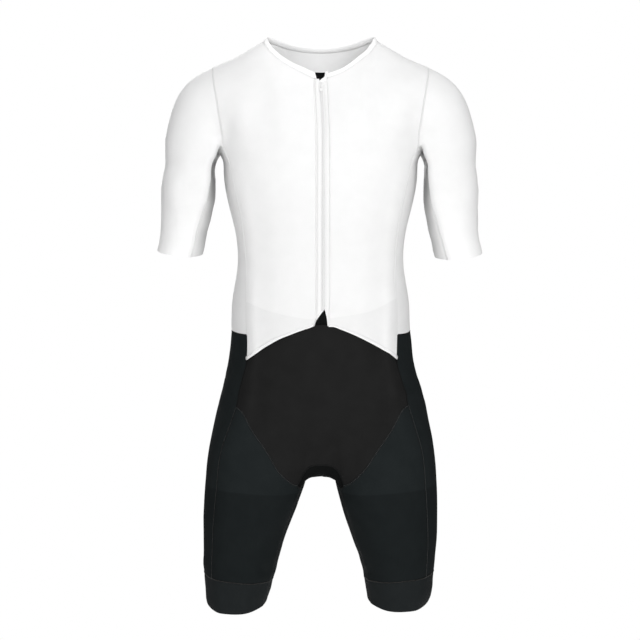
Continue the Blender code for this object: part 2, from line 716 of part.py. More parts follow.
def main():
    for obj in list(bpy.data.objects):
        bpy.data.objects.remove(obj)
    collection = bpy.data.collections.new("triathlon_suit")
    bpy.context.scene.collection.children.link(collection)
    white = material("white_knit", (236, 236, 236), 0.75)
    black = material("black_knit", (31, 32, 33), 0.7)
    tape = material("zip_tape", (225, 225, 225), 0.7)
    coil = material("zip_coil", (205, 205, 205), 0.5)
    metal = material("zip_metal", (190, 192, 195), 0.35)

    surface = Surface(LEVEL)

    def add(name, shape, look):
        make_object(name, shape[0], shape[1], look, collection)

    for tag in ("front_left", "front_right"):
        add(tag, panel(surface, tag, lifted=True), white)
    add("back", panel(surface, "back"), white)
    for hand in ("left", "right"):
        add("side_" + hand, panel(surface, "side_" + hand), white)
        add("sleeve_" + hand, panel(surface, "sleeve_" + hand), white)
        add("undersleeve_" + hand, panel(surface, "undersleeve_" + hand), white)
        add("hip_side_" + hand, panel(surface, "hip_side_" + hand), black)
        add("seat_" + hand, panel(surface, "seat_" + hand), black)
        add("thigh_front_" + hand, panel(surface, "thigh_front_" + hand), black)
        add("leg_band_" + hand, panel(surface, "leg_band_" + hand), black)
    add("brief_front", panel(surface, "brief_front"), black)
    add("gusset", panel(surface, "gusset"), black)
    add("neckband", neckband(surface), white)

    middle = Middle(surface)
    half = SEAM_GAP / 2
    rows = [r for r in sorted(middle.rows) if r <= 10]
    coil_end = 9.4

    def cut(r):
        """How far the strip's lower end is cut back on each side of the zip."""
        return smooth_step((r - coil_end) / (11 - coil_end)) ** 0.8

    left_rows = [0.02] + [r for r in rows if 0 < r < coil_end] + [coil_end, 9.8, 10.2, 10.5]
    right_rows = [0.02] + [r for r in rows if 0 < r < coil_end] + [coil_end, 10.0, 10.5, 10.98]
    add("zip_tape_right", zip_strip(middle, left_rows, lambda r: -ZIP_HALF + half,
                                    lambda r: max(-COIL_HALF - half - 6.4 * max(0.0, r - coil_end) / 1.1,
                                                  -ZIP_HALF + half + 0.6), 0.0, -WALL), tape)
    add("zip_tape_left", zip_strip(middle, right_rows, lambda r: COIL_HALF + half + 1.5 * max(0.0, r - coil_end),
                                   lambda r: ZIP_HALF - half, 0.0, -WALL), tape)
    add("zip_coil", zip_strip(middle, [0.3] + [r for r in rows if 0.3 < r < coil_end] + [coil_end],
                              lambda r: -COIL_HALF + half, lambda r: COIL_HALF - half, 0.5, -WALL), coil)
    guard = []
    top_up = middle.at(0.0, 0, 0) - middle.at(0.5, 0, 0)
    top_up /= np.linalg.norm(top_up)
    for r in [-1, 0.0] + [r for r in rows if 0 < r < 9] + [8.8]:
        shift = top_up * 8.5 if r < 0 else 0
        r = max(0.0, r)
        w = GUARD_HALF if r > 0.4 else ZIP_HALF - 1.2
        across = [-w, 1 - min(w, ZIP_HALF), 0, min(w, ZIP_HALF) - 1, w]
        guard.append([middle.at(r, x, -WALL - 1.0) + shift for x in across]
                     + [middle.at(r, x, -WALL - 2.0) + shift for x in reversed(across)])
    add("zip_guard", strip(guard), black)
    frame = zip_frame(middle, SLIDER_ROW)
    add("zip_slider", slider(frame), metal)
    add("zip_pull", pull(frame), metal)


main()
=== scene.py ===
"""Looks of the triathlon suit: knitted panels, flat-lock seams, bands and zip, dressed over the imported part.

Metres, +Z up, the front faces -Y, the wearer's left is +X. Tables and the cloth surface are in
millimetres, as in the part's own source, and are turned to metres when a piece is made.
"""
import math
from collections import namedtuple

import bpy
import numpy as np
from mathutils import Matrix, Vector


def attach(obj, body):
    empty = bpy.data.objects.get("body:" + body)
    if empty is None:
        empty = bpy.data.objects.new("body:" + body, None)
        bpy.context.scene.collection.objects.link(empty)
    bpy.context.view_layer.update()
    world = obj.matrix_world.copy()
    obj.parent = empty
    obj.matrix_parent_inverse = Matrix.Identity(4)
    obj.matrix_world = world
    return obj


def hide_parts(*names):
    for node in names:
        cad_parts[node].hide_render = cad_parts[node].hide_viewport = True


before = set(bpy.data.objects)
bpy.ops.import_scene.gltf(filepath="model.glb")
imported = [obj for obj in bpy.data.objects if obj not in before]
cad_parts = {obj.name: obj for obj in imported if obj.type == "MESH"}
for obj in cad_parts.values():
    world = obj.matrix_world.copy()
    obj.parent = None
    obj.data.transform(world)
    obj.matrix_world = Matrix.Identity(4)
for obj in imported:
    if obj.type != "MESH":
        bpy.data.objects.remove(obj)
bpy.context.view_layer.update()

MM = 0.001
LEVEL = 3                # subdivision of the cloth surface
CLOTH = 0.7              # cloth thickness
SEAM_SINK = 0.3          # how far a sewn edge sinks under its seam
SEAM_GAP = 0.3           # gap between neighbouring panels
HEM_LIFT = 1.9           # how far the white front stands off the brief under it
ZIP_SIDE = 4.0           # the zip runs this far to +X of the middle
ZIP_BEND = (-68.0, -145.0)           # it swings there between these heights, from nothing at its top
ZIP_HALF = 10.0          # half width of the zip strip between the two fronts
GUARD_HALF = 13.0        # half width of the flap behind the zip
HIP_SHIFT = 2.0          # the hips sit this far to +X of the chest
LEG_LEAN = 7.0           # the leg hems swing this far to -X
SLEEVE_LEAN = 2.4        # and the sleeves this far
SLEEVE_DROP = 2.2        # the +X sleeve hangs this much lower, the other this much higher
HANDS = ((1, "left"), (-1, "right"))

# The skin is a grid of quads, mirrored at the middle. Columns run from the middle front (0) over the side
# seams' strip (6 to 8) to the middle back, rows from the neckline (0) down to the crotch.
COLUMNS = 13
FRONT_SEAM, SIDE_LINE, BACK_SEAM = 6, 7, 8
ARMPIT_ROW, WAIST_ROW, HEM_ROW, RUMP = 5, 10, 11, 15
ARM_LINES, LEG_LINES, GUSSET_ROWS = 12, 15, 6

# Horizontal sections of the body, from the armpit down. half = half width at the side, front / side /
# back = y of the middle front, the side and the middle back, nf / nb = squareness, dip_f / dip_b = how
# far the middle front and back sink between the legs.
Section = namedtuple("Section", "z half front side back nf nb dip_f dip_b")
BODY = [Section(*r) for r in (
    (-187, 160.0, -113, 4, 108, 2.5, 2.5, 0, 4),
    (-243, 151.5, -118, 4, 105, 2.5, 2.5, 0, 6),
    (-302, 137.5, -113, 2, 93, 2.4, 2.4, 0, 7),
    (-360, 132.5, -106, -1, 83, 2.4, 2.4, 0, 6),
    (-420, 141.5, -105, -1, 85, 2.4, 2.4, 0, 3),
    (-468, 144.0, -106, 1, 96, 2.4, 2.4, 0, 3),
    (-509, 149.0, -107, 4, 109, 2.4, 2.3, 0, 4),
    (-548, 157.0, -107, 6, 119, 2.5, 2.3, 0, 7),
    (-586, 167.5, -105, 8, 125, 2.6, 2.3, 1, 12),
    (-620, 175.5, -102, 8, 127, 2.7, 2.3, 4, 18),
    (-655, 182.0, -98, 7, 124, 2.8, 2.3, 12, 27),
    (-690, 187.0, -93, 5, 117, 2.8, 2.3, 26, 42),
    (-725, 188.5, -88, 4, 106, 2.8, 2.3, 40, 60))]
DIP_WIDTH = 48.0

# Rows of the body below the armpit: height at the middle front, at the front side seam, at the side
# and at the middle back; x of the front and back side seams.
Row = namedtuple("Row", "name front seam side back x_front x_back")
ROWS = [Row(*r) for r in (
    ("armpit", -186, -174, -184, -186, 153.0, 154.0),
    ("chest", -243, -243, -243, -243, 133.0, 136.0),
    ("ribs", -302, -302, -302, -302, 122.0, 122.0),
    ("waist", -360, -360, -360, -360, 117.5, 117.0),
    ("brief_top", -420, -417, -417, -417, 117.0, 121.0),
    ("hip_seam", -437, -468, -467, -464, 116.0, 124.0),
    ("free_hem", -454, -509, -530, -512, 117.5, 129.0))]
BACK_SHARES = (1.0, 0.84, 0.64, 0.43, 0.22, 0.0)     # x of the back's columns, as shares of its seam's
# The crotch row, column by column from the middle front (0) to the middle back (13).
CROTCH = [(0, -677), (21, -681), (37, -706), (63, -685), (89, -645), (112, -612), (134, -584),
          (None, -594), (141, -606), (124, -642), (88, -686), (37, -714), (18, -697), (0, -688)]

# The upper body: edge curves (x, y, z) of the front and back, from the top row (0) to the armpit row (5).
NECK_FRONT = [(0, -65, -71), (10, -64.5, -70.5), (38, -57, -58.5), (69, -36, -35), (90, 0, -6.5)]
NECK_BACK = [(90, 0, -6.5), (63, 30, -12), (32, 46, -18), (0, 51, -20)]
SHOULDER = [(90, 0, -6.5), (130, 1, -30), (171, 2, -48)]
MIDDLE_FRONT = [
    (0, -65, -71), (0, -78, -93), (0, -90, -116), (0, -100, -139), (0, -108, -163), (0, -113, -186)]
MIDDLE_BACK = [
    (0, 51, -20), (0, 76, -53), (0, 94, -87), (0, 103, -120), (0, 105.5, -153), (0, 104, -186)]
ARMHOLE_FRONT = [
    (171, 2, -48), (168, -38, -68), (163, -59, -94), (158, -66, -124), (154, -60, -152), (153, -45, -174)]
ARMHOLE_BACK = [
    (171, 2, -48), (169, 38, -66), (164, 61, -93), (159, 70, -124), (155, 66, -153), (154, 53, -179)]

# Sleeve: 12 lines round the arm, from the underarm (0) over the front to the top (6) and down the back.
SLEEVE_ROWS = 5
SLEEVE_ANGLE = [180, 123, 98, 74, 50, 25, 0, -25, -50, -74, -98, -123]
SLEEVE_HEM = (222.5, 0.0, -342.5)
SLEEVE_HALF = (37.5, 47.0)
SLEEVE_TILT = (0.10, 0.13)           # dz/dx and dz/dy of the hem
SLEEVE_LEAVE = ((14, 0, -9), (96, 0, -25))    # Bezier handles at the underarm and at the top
SLEEVE_ARRIVE = ((-24.0, 0, 67), (-17.5, 0, 113))

# Leg: horizontal sections. inner / outer = x, front / back = y.
Leg = namedtuple("Leg", "z inner outer front back")
LEGS = [Leg(*r) for r in (
    (-584, 4, 167.0, -104, 126),
    (-660, 12, 183.0, -98, 122),
    (-709, 23, 187.6, -91, 111),
    (-742, 33, 189.3, -86, 101),
    (-775, 44.5, 189.8, -82, 92),
    (-807, 56, 189.6, -79, 84),
    (-840, 66.5, 188.4, -75, 77),
    (-862, 71.0, 187.4, -72, 72),
    (-872, 73.0, 184.8, -70, 70),
    (-893, 77.5, 183.6, -66, 66),
    (-918, 82.0, 180.0, -63, 63))]
LEG_ANGLE = [-146, -118, -92, -68, -44, 0, 45, 72, 98, 132, 150, 164, 180, -166, -155]
LEG_ROWS = 6                         # the last one is the band
LEG_SQUARE = 2.15
LEG_HALF = (56, 65)                  # half width and half depth at the band
BAND_SEAM = (-866.5, 0.08, 0.0)      # height at the leg's middle, dz/dx, dz/dy
LEG_HEM = (-903.0, -0.03, 0.17)

# Gusset edge from the front corner to the back corner, between the legs: x, y, z; and its middle.
GUSSET_EDGE = [(30, -44, -706), (26, -22, -704.5), (25, 2, -704), (26, 26, -706), (30, 52, -711)]
GUSSET_MIDDLE = [(0, -51, -693), (0, -26, -700), (0, 2, -702.5), (0, 30, -701), (0, 58, -697)]
GUSSET_FRONT_Y, GUSSET_BACK_Y = (-70, -69, -63), (80, 79, 76)


# ---- the skin's shape
def curve(knots, x):
    """Smooth interpolation through (x, value) knots sorted by falling x."""
    xs = [-k[0] for k in knots]
    ys = [k[1] for k in knots]
    x = -x
    if x <= xs[0]:
        return ys[0] + (ys[1] - ys[0]) / (xs[1] - xs[0]) * (x - xs[0])
    if x >= xs[-1]:
        return ys[-1] + (ys[-1] - ys[-2]) / (xs[-1] - xs[-2]) * (x - xs[-1])
    i = max(j for j in range(len(xs) - 1) if xs[j] <= x)
    slope = [(ys[j + 1] - ys[j]) / (xs[j + 1] - xs[j]) for j in range(len(xs) - 1)]

    def tangent(j):
        if j == 0:
            return slope[0]
        if j == len(xs) - 1:
            return slope[-1]
        a, b = slope[j - 1], slope[j]
        return 0.0 if a * b <= 0 else 2 * a * b / (a + b)
    h = xs[i + 1] - xs[i]
    t = (x - xs[i]) / h
    return ((2 * t ** 3 - 3 * t ** 2 + 1) * ys[i] + (t ** 3 - 2 * t ** 2 + t) * h * tangent(i)
            + (3 * t ** 2 - 2 * t ** 3) * ys[i + 1] + (t ** 3 - t ** 2) * h * tangent(i + 1))


def body(z, field):
    """A measure of the body's section at height z."""
    return curve([(s.z, getattr(s, field)) for s in BODY], z)


def leg(z, field):
    """The same of the leg's."""
    return curve([(s.z, getattr(s, field)) for s in LEGS], z)


def body_y(x, z, back):
    """y of the body's front or back skin at x, z."""
    half, side = body(z, "half"), body(z, "side")
    far = body(z, "back" if back else "front")
    n = body(z, "nb" if back else "nf")
    dip = body(z, "dip_b" if back else "dip_f") * math.exp(-(x / DIP_WIDTH) ** 2)
    reach = max(0.0, 1 - min(1.0, abs(x) / half) ** n) ** (1 / n)
    return side + (far - side) * reach - math.copysign(dip, far)


def unit(v):
    """A vector, or each row of an array of them, at length 1."""
    return v / (np.linalg.norm(v) if v.ndim == 1 else np.linalg.norm(v, axis=1)[:, None])


def edge_key(a, b):
    """An edge by its two vertices, whichever way round."""
    return min(a, b), max(a, b)


def lerp(a, b, t):
    """The point a share t of the way from a to b."""
    return tuple(p + (q - p) * t for p, q in zip(a, b))


def coons(top, bottom, left, right):
    """Grid[row][col] filled in from its four edge curves."""
    def shares(*curves):
        """Mean share of each curve's length at each of its points."""
        sums = []
        for c in curves:
            run = [0.0]
            for a, b in zip(c, c[1:]):
                run.append(run[-1] + math.dist(a, b))
            sums.append([r / run[-1] for r in run])
        return [sum(s) / len(s) for s in zip(*sums)]

    grid = []
    for i, v in enumerate(shares(left, right)):
        line = []
        for j, u in enumerate(shares(top, bottom)):
            a, b = lerp(top[j], bottom[j], v), lerp(left[i], right[i], u)
            c = lerp(lerp(top[0], top[-1], u), lerp(bottom[0], bottom[-1], u), v)
            line.append(tuple(p + q - r for p, q, r in zip(a, b, c)))
        grid.append(line)
    return grid


# ---- the cage
def body_point(col, row):
    """Target point of the body grid, from the armpit row to the crotch row."""
    if row == RUMP:
        x, z = CROTCH[col]
        if col == SIDE_LINE:
            return body(z, "half"), body(z, "side"), z
        if col <= 2:
            return x, GUSSET_FRONT_Y[col], z
        if col >= COLUMNS - 2:
            return x, GUSSET_BACK_Y[COLUMNS - col], z
        return x, body_y(x, z, col > SIDE_LINE), z
    if row > HEM_ROW:
        a, b = body_point(col, HEM_ROW), body_point(col, RUMP)
        t = (row - HEM_ROW) / (RUMP - HEM_ROW)
        x, z = a[0] + (b[0] - a[0]) * t, a[2] + (b[2] - a[2]) * t
    else:
        r = ROWS[row - ARMPIT_ROW]
        if col <= FRONT_SEAM:
            x = (0.0, ZIP_HALF)[col] if col < 2 else ZIP_HALF + (r.x_front - ZIP_HALF) * (col - 1) / 5
            z = r.front + (r.seam - r.front) * (x / r.x_front) ** 1.8
        elif col == SIDE_LINE:
            x, z = body(r.side, "half"), r.side
        else:
            share = BACK_SHARES[col - BACK_SEAM]
            x = r.x_back * share
            z = r.back + (r.side - r.back) * share ** 2
    if col == SIDE_LINE:
        return body(z, "half"), body(z, "side"), z
    if (col, row) == (FRONT_SEAM, ARMPIT_ROW):
        return ARMHOLE_FRONT[-1]
    if (col, row) == (BACK_SEAM, ARMPIT_ROW):
        return ARMHOLE_BACK[-1]
    return x, body_y(x, z, col > SIDE_LINE), z


def leg_point(n, j, start):
    """Target point of leg line n, row j; start is the same line's point on the crotch row."""
    if j <= LEG_ROWS - 1:
        mid = BAND_SEAM
        share = j / (LEG_ROWS - 1)
    else:
        mid, share = LEG_HEM, 1.0
    angle = math.radians(LEG_ANGLE[n])
    c, s = math.cos(angle), math.sin(angle)
    ex = math.copysign(abs(c) ** (2 / LEG_SQUARE), c)
    ey = math.copysign(abs(s) ** (2 / LEG_SQUARE), s)
    low = mid[0] + mid[1] * LEG_HALF[0] * ex + mid[2] * LEG_HALF[1] * ey
    z = start[2] + (low - start[2]) * share
    inner, outer = leg(z, "inner"), leg(z, "outer")
    front, back = leg(z, "front"), leg(z, "back")
    x = (inner + outer) / 2 + (outer - inner) / 2 * ex
    y = (ey * back) if ey > 0 else (-ey * front)
    # Each line leaves the body's shape at its own pace: fast at the side and inside, slower between.
    pace_x = 4.5 if n in (4, 5, 6) else 5.0 if n >= 10 else 3.0 if n in (0, 9) else 2.0
    pace_y = 2.5 if n >= 10 else 2.0
    return (start[0] + (x - start[0]) * min(1.0, share * pace_x),
            start[1] + (y - start[1]) * min(1.0, share * pace_y), z)


def sleeve_point(k, j, start):
    """Target point of sleeve line k, row j, on a Bezier curve from its start on the armhole to the hem."""
    angle = math.radians(SLEEVE_ANGLE[k])
    hx = SLEEVE_HALF[0] * math.cos(angle)
    hy = -SLEEVE_HALF[1] * math.sin(angle)
    end = (SLEEVE_HEM[0] + hx, SLEEVE_HEM[1] + hy,
           SLEEVE_HEM[2] + SLEEVE_TILT[0] * hx + SLEEVE_TILT[1] * hy)
    w = (1 - math.cos(math.pi * k / 6)) / 2
    p1 = tuple(a + b for a, b in zip(start, lerp(*SLEEVE_LEAVE, w)))
    p2 = tuple(a + b for a, b in zip(end, lerp(*SLEEVE_ARRIVE, w)))
    t = j / SLEEVE_ROWS
    c = ((1 - t) ** 3, 3 * t * (1 - t) ** 2, 3 * t * t * (1 - t), t ** 3)
    return tuple(c[0] * a + c[1] * b + c[2] * d + c[3] * e for a, b, d, e in zip(start, p1, p2, end))


class Cage:
    """Quads with a panel tag. Vertices are points that the smooth skin passes through.

    coords holds each vertex's (column, row), and corners each quad's four, counted its panel's own way.
    """

    def __init__(self):
        self.index, self.points, self.coords = {}, [], []
        self.faces, self.corners, self.tags = [], [], []

    def vertex(self, key, point, coord):
        """Number of the vertex of this name, which is added the first time."""
        if key not in self.index:
            self.index[key] = len(self.points)
            self.points.append(point)
            self.coords.append(coord)
        return self.index[key]

    def quad(self, side, corners, tag, places):
        turn = 1 if side > 0 else -1
        self.faces.append(corners[::turn])
        self.corners.append(places[::turn])
        self.tags.append(tag)


def panel_tag(col, row, hand):
    """The panel that a quad of the body belongs to. The fronts' last two rows are the brief's as well."""
    if col < FRONT_SEAM:
        if row >= HEM_ROW:
            return "brief_front"
        tag = "zip" if col == 0 else "front_" + hand
        return tag + "+brief_front" if row >= HEM_ROW - 2 else tag
    if col < BACK_SEAM:
        return ("side_" if row < WAIST_ROW else "hip_side_") + hand
    return "back" if row < WAIST_ROW else "seat_" + hand


def leg_tag(n, j, hand):
    """The same for a quad of the leg."""
    if j == LEG_ROWS - 1:
        return "leg_band_" + hand
    if n in (4, 5):
        return "hip_side_" + hand
    return ("seat_" if 6 <= n <= 11 else "thigh_front_") + hand


def build_cage():
    """Both halves of the garment's cage: body, sleeves, gusset and legs."""
    cage = Cage()
    top_front = NECK_FRONT + SHOULDER[1:]
    top_back = SHOULDER[::-1] + NECK_BACK[1:]
    low_front = [body_point(c, ARMPIT_ROW) for c in range(FRONT_SEAM + 1)]
    low_back = [body_point(c, ARMPIT_ROW) for c in range(BACK_SEAM, COLUMNS + 1)]
    upper_front = coons(top_front, low_front, MIDDLE_FRONT, ARMHOLE_FRONT)
    upper_back = coons(top_back, low_back, ARMHOLE_BACK, MIDDLE_BACK)

    def grid(side, col, row):
        if row == 0 and BACK_SEAM <= col <= 10:
            col = 14 - col               # the shoulder seam belongs to the front's columns too
        if row < ARMPIT_ROW:
            p = upper_front[row][col] if col <= FRONT_SEAM else upper_back[row][col - BACK_SEAM]
        else:
            p = body_point(col, row)
        shared = col in (0, COLUMNS)
        key = ("body", 0 if shared else side, col, row)
        return cage.vertex(key, (p[0] * side, p[1], p[2]), (col * side, row))

    def sleeve(side, k, j):
        k %= ARM_LINES
        hole = (SIDE_LINE, 5) if k == 0 else (FRONT_SEAM, 6 - k) if k <= 6 else (BACK_SEAM, k - 6)
        start = grid(side, *hole)
        if j == 0:
            return start
        s = cage.points[start]
        p = sleeve_point(k, j, (abs(s[0]), s[1], s[2]))
        return cage.vertex(("sleeve", side, k, j), (p[0] * side, p[1], p[2]), (k, 30 + j))

    def gusset(side, col, i):
        if i in (0, GUSSET_ROWS):
            return grid(side, COLUMNS - col if i else col, RUMP)
        edge, mid = GUSSET_EDGE[i - 1], GUSSET_MIDDLE[i - 1]
        p = (mid, lerp(mid, edge, 0.42), edge)[col]
        key = ("gusset", 0 if col == 0 else side, col, i)
        return cage.vertex(key, (p[0] * side, p[1], p[2]), (col, 40 + i))

    def trouser(side, n, j):
        n %= LEG_LINES
        start = grid(side, n + 2, RUMP) if n < 10 else gusset(side, 2, 15 - n)
        if j == 0:
            return start
        s = cage.points[start]
        p = leg_point(n, j, (abs(s[0]), s[1], s[2]))
        return cage.vertex(("leg", side, n, j), (p[0] * side, p[1], p[2]), (n, 50 + j))

    def tile(side, vertex, a, b, tag, u, v, step=1):
        """One quad from line a and row b to the next ones. u and v count it in its own panel."""
        ring = [vertex(side, *at) for at in ((a, b), (a, b + 1), (a + 1, b + 1), (a + 1, b))]
        u0, u1 = u * side, (u + step) * side
        cage.quad(side, ring, tag, [(u0, v), (u0, v + 1), (u1, v + 1), (u1, v)])

    for side, hand in HANDS:
        for row in range(RUMP):
            for col in range(COLUMNS):
                tag = panel_tag(col, row, hand)
                if row < ARMPIT_ROW and FRONT_SEAM <= col < BACK_SEAM:
                    continue             # the armhole
                if tag == "back":
                    tile(side, grid, col, row, tag, COLUMNS - col, row, -1)
                else:
                    tile(side, grid, col, row, tag, col, row)
        for j in range(SLEEVE_ROWS):
            for k in range(ARM_LINES):
                tag = ("undersleeve_" if k in (0, 11) else "sleeve_") + hand
                tile(side, sleeve, k, j, tag, k - 12 if k == 11 else k, j)
        for i in range(GUSSET_ROWS):
            for col in range(2):
                tile(side, gusset, col, i, "gusset", col, i)
        for j in range(LEG_ROWS):
            for n in range(LEG_LINES):
                tile(side, trouser, n, j, leg_tag(n, j, hand), n + 2 if n < 12 else n - 13, RUMP + j)
    return cage


# ---- Catmull-Clark
def mesh_edges(faces):
    """Edges, each quad's four edge numbers, and which edges lie on a rim."""
    pairs = np.stack([faces, np.roll(faces, -1, axis=1)], axis=2).reshape(-1, 2)
    edges, index, uses = np.unique(np.sort(pairs, axis=1), axis=0, return_inverse=True, return_counts=True)
    return edges, index.reshape(-1, 4), uses == 1


def spread(count, index, values):
    """Sum of the values that land on each of count places."""
    total = np.zeros((count,) + values.shape[1:])
    np.add.at(total, index, values)
    return total


def neighbours(count, pairs, values):
    """Sum of the values at the far ends of each place's pairs."""
    return spread(count, pairs[:, 0], values[pairs[:, 1]]) + spread(count, pairs[:, 1], values[pairs[:, 0]])


def to_limit(points, faces):
    """Where each vertex comes to lie on the smooth skin. A rim is a smooth line of its own."""
    count = len(points)
    edges, _, free = mesh_edges(faces)
    shape = (-1,) + (1,) * (points.ndim - 1)
    at_rim = np.isin(np.arange(count), edges[free]).reshape(shape)
    n = np.bincount(faces.ravel(), minlength=count).astype(float).reshape(shape)
    across = spread(count, faces.ravel(), points[np.roll(faces, 2, axis=1).ravel()])
    inner = (n * n * points + 4 * neighbours(count, edges, points) + across) / (n * (n + 5))
    outer = (4 * points + neighbours(count, edges[free], points)) / 6
    return np.where(at_rim, outer, inner)


def subdivide(points, coords, faces, corners, tags):
    """One step finer: vertices, edge middles and face middles, with their coordinates and panels."""
    edges, index, free = mesh_edges(faces)
    count, rim = len(points), edges[free]
    centre = points[faces].mean(1)
    middle = points[edges].mean(1)
    beside_edge = spread(len(edges), index.ravel(), np.repeat(centre, 4, axis=0))
    edge_points = np.where(free[:, None], middle, (middle * 2 + beside_edge) / 4)
    n = np.bincount(faces.ravel(), minlength=count)[:, None].astype(float)
    around = spread(count, faces.ravel(), np.repeat(centre, 4, axis=0))
    mids = spread(count, edges[:, 0], middle) + spread(count, edges[:, 1], middle)
    moved = (around / n + 2 * mids / n + (n - 3) * points) / n
    at_rim = np.isin(np.arange(count), rim)
    moved[at_rim] = (6 * points[at_rim] + neighbours(count, rim, points)[at_rim]) / 8
    on_edge = count + index
    in_face = np.repeat((count + len(edges) + np.arange(len(faces)))[:, None], 4, axis=1)
    new_faces = np.stack([faces, on_edge, in_face, np.roll(on_edge, 1, axis=1)], axis=2).reshape(-1, 4)
    half = (corners + np.roll(corners, -1, axis=1)) / 2
    whole = np.repeat(corners.mean(1)[:, None], 4, axis=1)
    new_corners = np.stack([corners, half, whole, np.roll(half, 1, axis=1)], axis=2).reshape(-1, 4, 2)
    return (np.vstack([moved, edge_points, centre]),
            np.vstack([coords, coords[edges].mean(1), coords[faces].mean(1)]),
            new_faces, new_corners, np.repeat(tags, 4))


def smooth_step(t):
    """From 0 to 1 as t does, with a soft start and end."""
    t = np.clip(t, 0.0, 1.0)
    return t * t * (3 - 2 * t)


def ramp(values, start, length):
    """From 0 at start to 1 a length further on."""
    return np.clip((values - start) / length, 0, 1)


def on_sleeve(x, z):
    """1 on the sleeves, falling to 0 at the armholes."""
    return ramp(np.abs(x), 158, 8) * ramp(z, -400, 40)


def pose(points):
    """The zip's offset and the slight swing of the legs and sleeves."""
    p = points.copy()
    x, y, z = p[:, 0], p[:, 1], p[:, 2]
    aside = np.interp(-z, (-ZIP_BEND[0], -ZIP_BEND[1], 420, 510), (0, ZIP_SIDE, ZIP_SIDE, 0))
    p[:, 0] += np.where(y < 0, aside * np.exp(-(x / 60) ** 2), 0) * np.clip(-y / 40, 0, 1)
    p[:, 0] += HIP_SHIFT * ramp(-z, 500, 60) - LEG_LEAN * np.clip((-z - 700) / 210, 0, 1.1) ** 1.2
    sleeve = on_sleeve(x, z)
    p[:, 0] -= SLEEVE_LEAN * sleeve * ramp(-z, 170, 60)
    p[:, 2] -= SLEEVE_DROP * sleeve * np.sign(x) * ramp(-z, 200, 100)
    return p


# ---- where its edges and seams lie
# Lines on the front, as (x, height) from the wearer's left to the right: the white front's free hem, where
# the brief under it begins to show through, and where the leg cloth turns darker.
HEM_LINE = (
    (121, -508.4), (107, -497.4), (92, -487.5), (76, -477.6), (61, -469.5), (45, -462.1), (30, -456),
    (18, -452.1), (12, -452.3), (0.8, -450.5), (-9.1, -452.1), (-16, -453.7), (-32, -459.1), (-47, -465),
    (-63, -471.7), (-79, -481), (-95, -491.3), (-110, -501.7), (-116.8, -507))
SHOW_LINE = (
    (116.2, -411.3), (74.3, -429.8), (17.7, -438.6), (2.3, -441.1), (-10, -440.8), (-76.6, -429.8),
    (-113.1, -416.6))
LEG_LINE = ((181.1, -711.4), (28.4, -720), (-32.2, -720), (-179.6, -712.8))
# How much further out the sleeves' outer and inner edges lie in places, by height.
SLEEVE_OUT_LEFT = (
    (-80, 0), (-131, 1.9), (-163, 3.2), (-194, -0.6), (-202, -1), (-210, 0), (-226, 1.9),
    (-242, 3), (-258, 2), (-274, 0), (-290, -1), (-306, -2.4), (-322, -1.8), (-338, 1.2),
    (-430, 1.2))
SLEEVE_OUT_RIGHT = (
    (-80, 0), (-131, 1.1), (-163, 2.3), (-194, -2.3), (-202, -3.8), (-210, -2.4), (-226, -0.8),
    (-242, 0.1), (-258, -0.6), (-274, -1.7), (-290, -3), (-306, -3.8), (-322, -3.5), (-331, -2.6),
    (-338, -1.1), (-430, -1.1))
SLEEVE_IN_LEFT = (
    (-180, 0), (-194, 0), (-202, 0.8), (-210, -0.3), (-226, -1.1), (-242, -2.1), (-258, -3),
    (-274, -2.1), (-290, -0.3), (-306, 0.2), (-322, 1.4), (-331, 1), (-338, 0), (-430, 0))
SLEEVE_IN_RIGHT = (
    (-180, 0), (-194, 0), (-210, 0), (-226, -3), (-242, -3.7), (-258, -3.9), (-274, -1),
    (-290, 0.6), (-306, 2.9), (-322, 2.4), (-331, 1.4), (-338, 1.1), (-430, 1.1))
# The same for the hips and the outer and inner edges of the legs.
LEG_OUT_LEFT = (
    (-455, 0), (-482, 0.5), (-495, 0), (-508, -1.1), (-521, -1.4), (-534, -0.8), (-560, 0.5),
    (-586, 0), (-612, -0.6), (-638, 0), (-664, -0.8), (-690, -1.6), (-703, -2.1), (-742, -1.4),
    (-768, -1), (-794, -0.3), (-808, -0.2), (-834, -0.8), (-873, -0.5), (-886, 1.1), (-900, 1),
    (-913, -2.6))
LEG_OUT_RIGHT = (
    (-455, 0), (-469, -1.1), (-495, -2.1), (-508, -1.9), (-521, -1.4), (-534, -0.3), (-573, -0.3),
    (-586, -1.1), (-599, -0.5), (-628, 0), (-651, 0.5), (-677, 0.5), (-703, 0), (-768, 0),
    (-794, -1), (-821, -1.6), (-834, -1.6), (-847, -0.5), (-860, -1.8), (-886, -2.2), (-900, -1.4),
    (-913, -2.6))
LEG_IN_LEFT = (
    (-676, 0), (-694, -3), (-702, -4.4), (-709, -4.9), (-716, -4.7), (-722, -4), (-729, -2.8),
    (-742, -1.4), (-755, -1.6), (-768, -2.6), (-808, -3), (-821, -2.9), (-834, -1.6), (-847, -1),
    (-860, 1.1), (-873, 1.1), (-900, 1.3), (-913, 0.3))
LEG_IN_RIGHT = (
    (-676, 0), (-697, -1.5), (-705, -1.1), (-716, -0.8), (-729, 1.9), (-742, 3.9), (-768, 3.4),
    (-794, 2.7), (-808, 1.8), (-821, 0.2), (-834, -1), (-847, -1), (-860, -1.6), (-873, 0.6),
    (-886, 0.5), (-900, 2.9), (-913, 3.5))
# How far the slit between sleeve and body opens under the arm, by height, and where its middle lies.
ARMPIT_OPEN = ((-187, 0), (-194, 2.8), (-202, 3), (-210, 1.8), (-226, 0.3), (-240, 0))
ARMPIT_X = 161.0
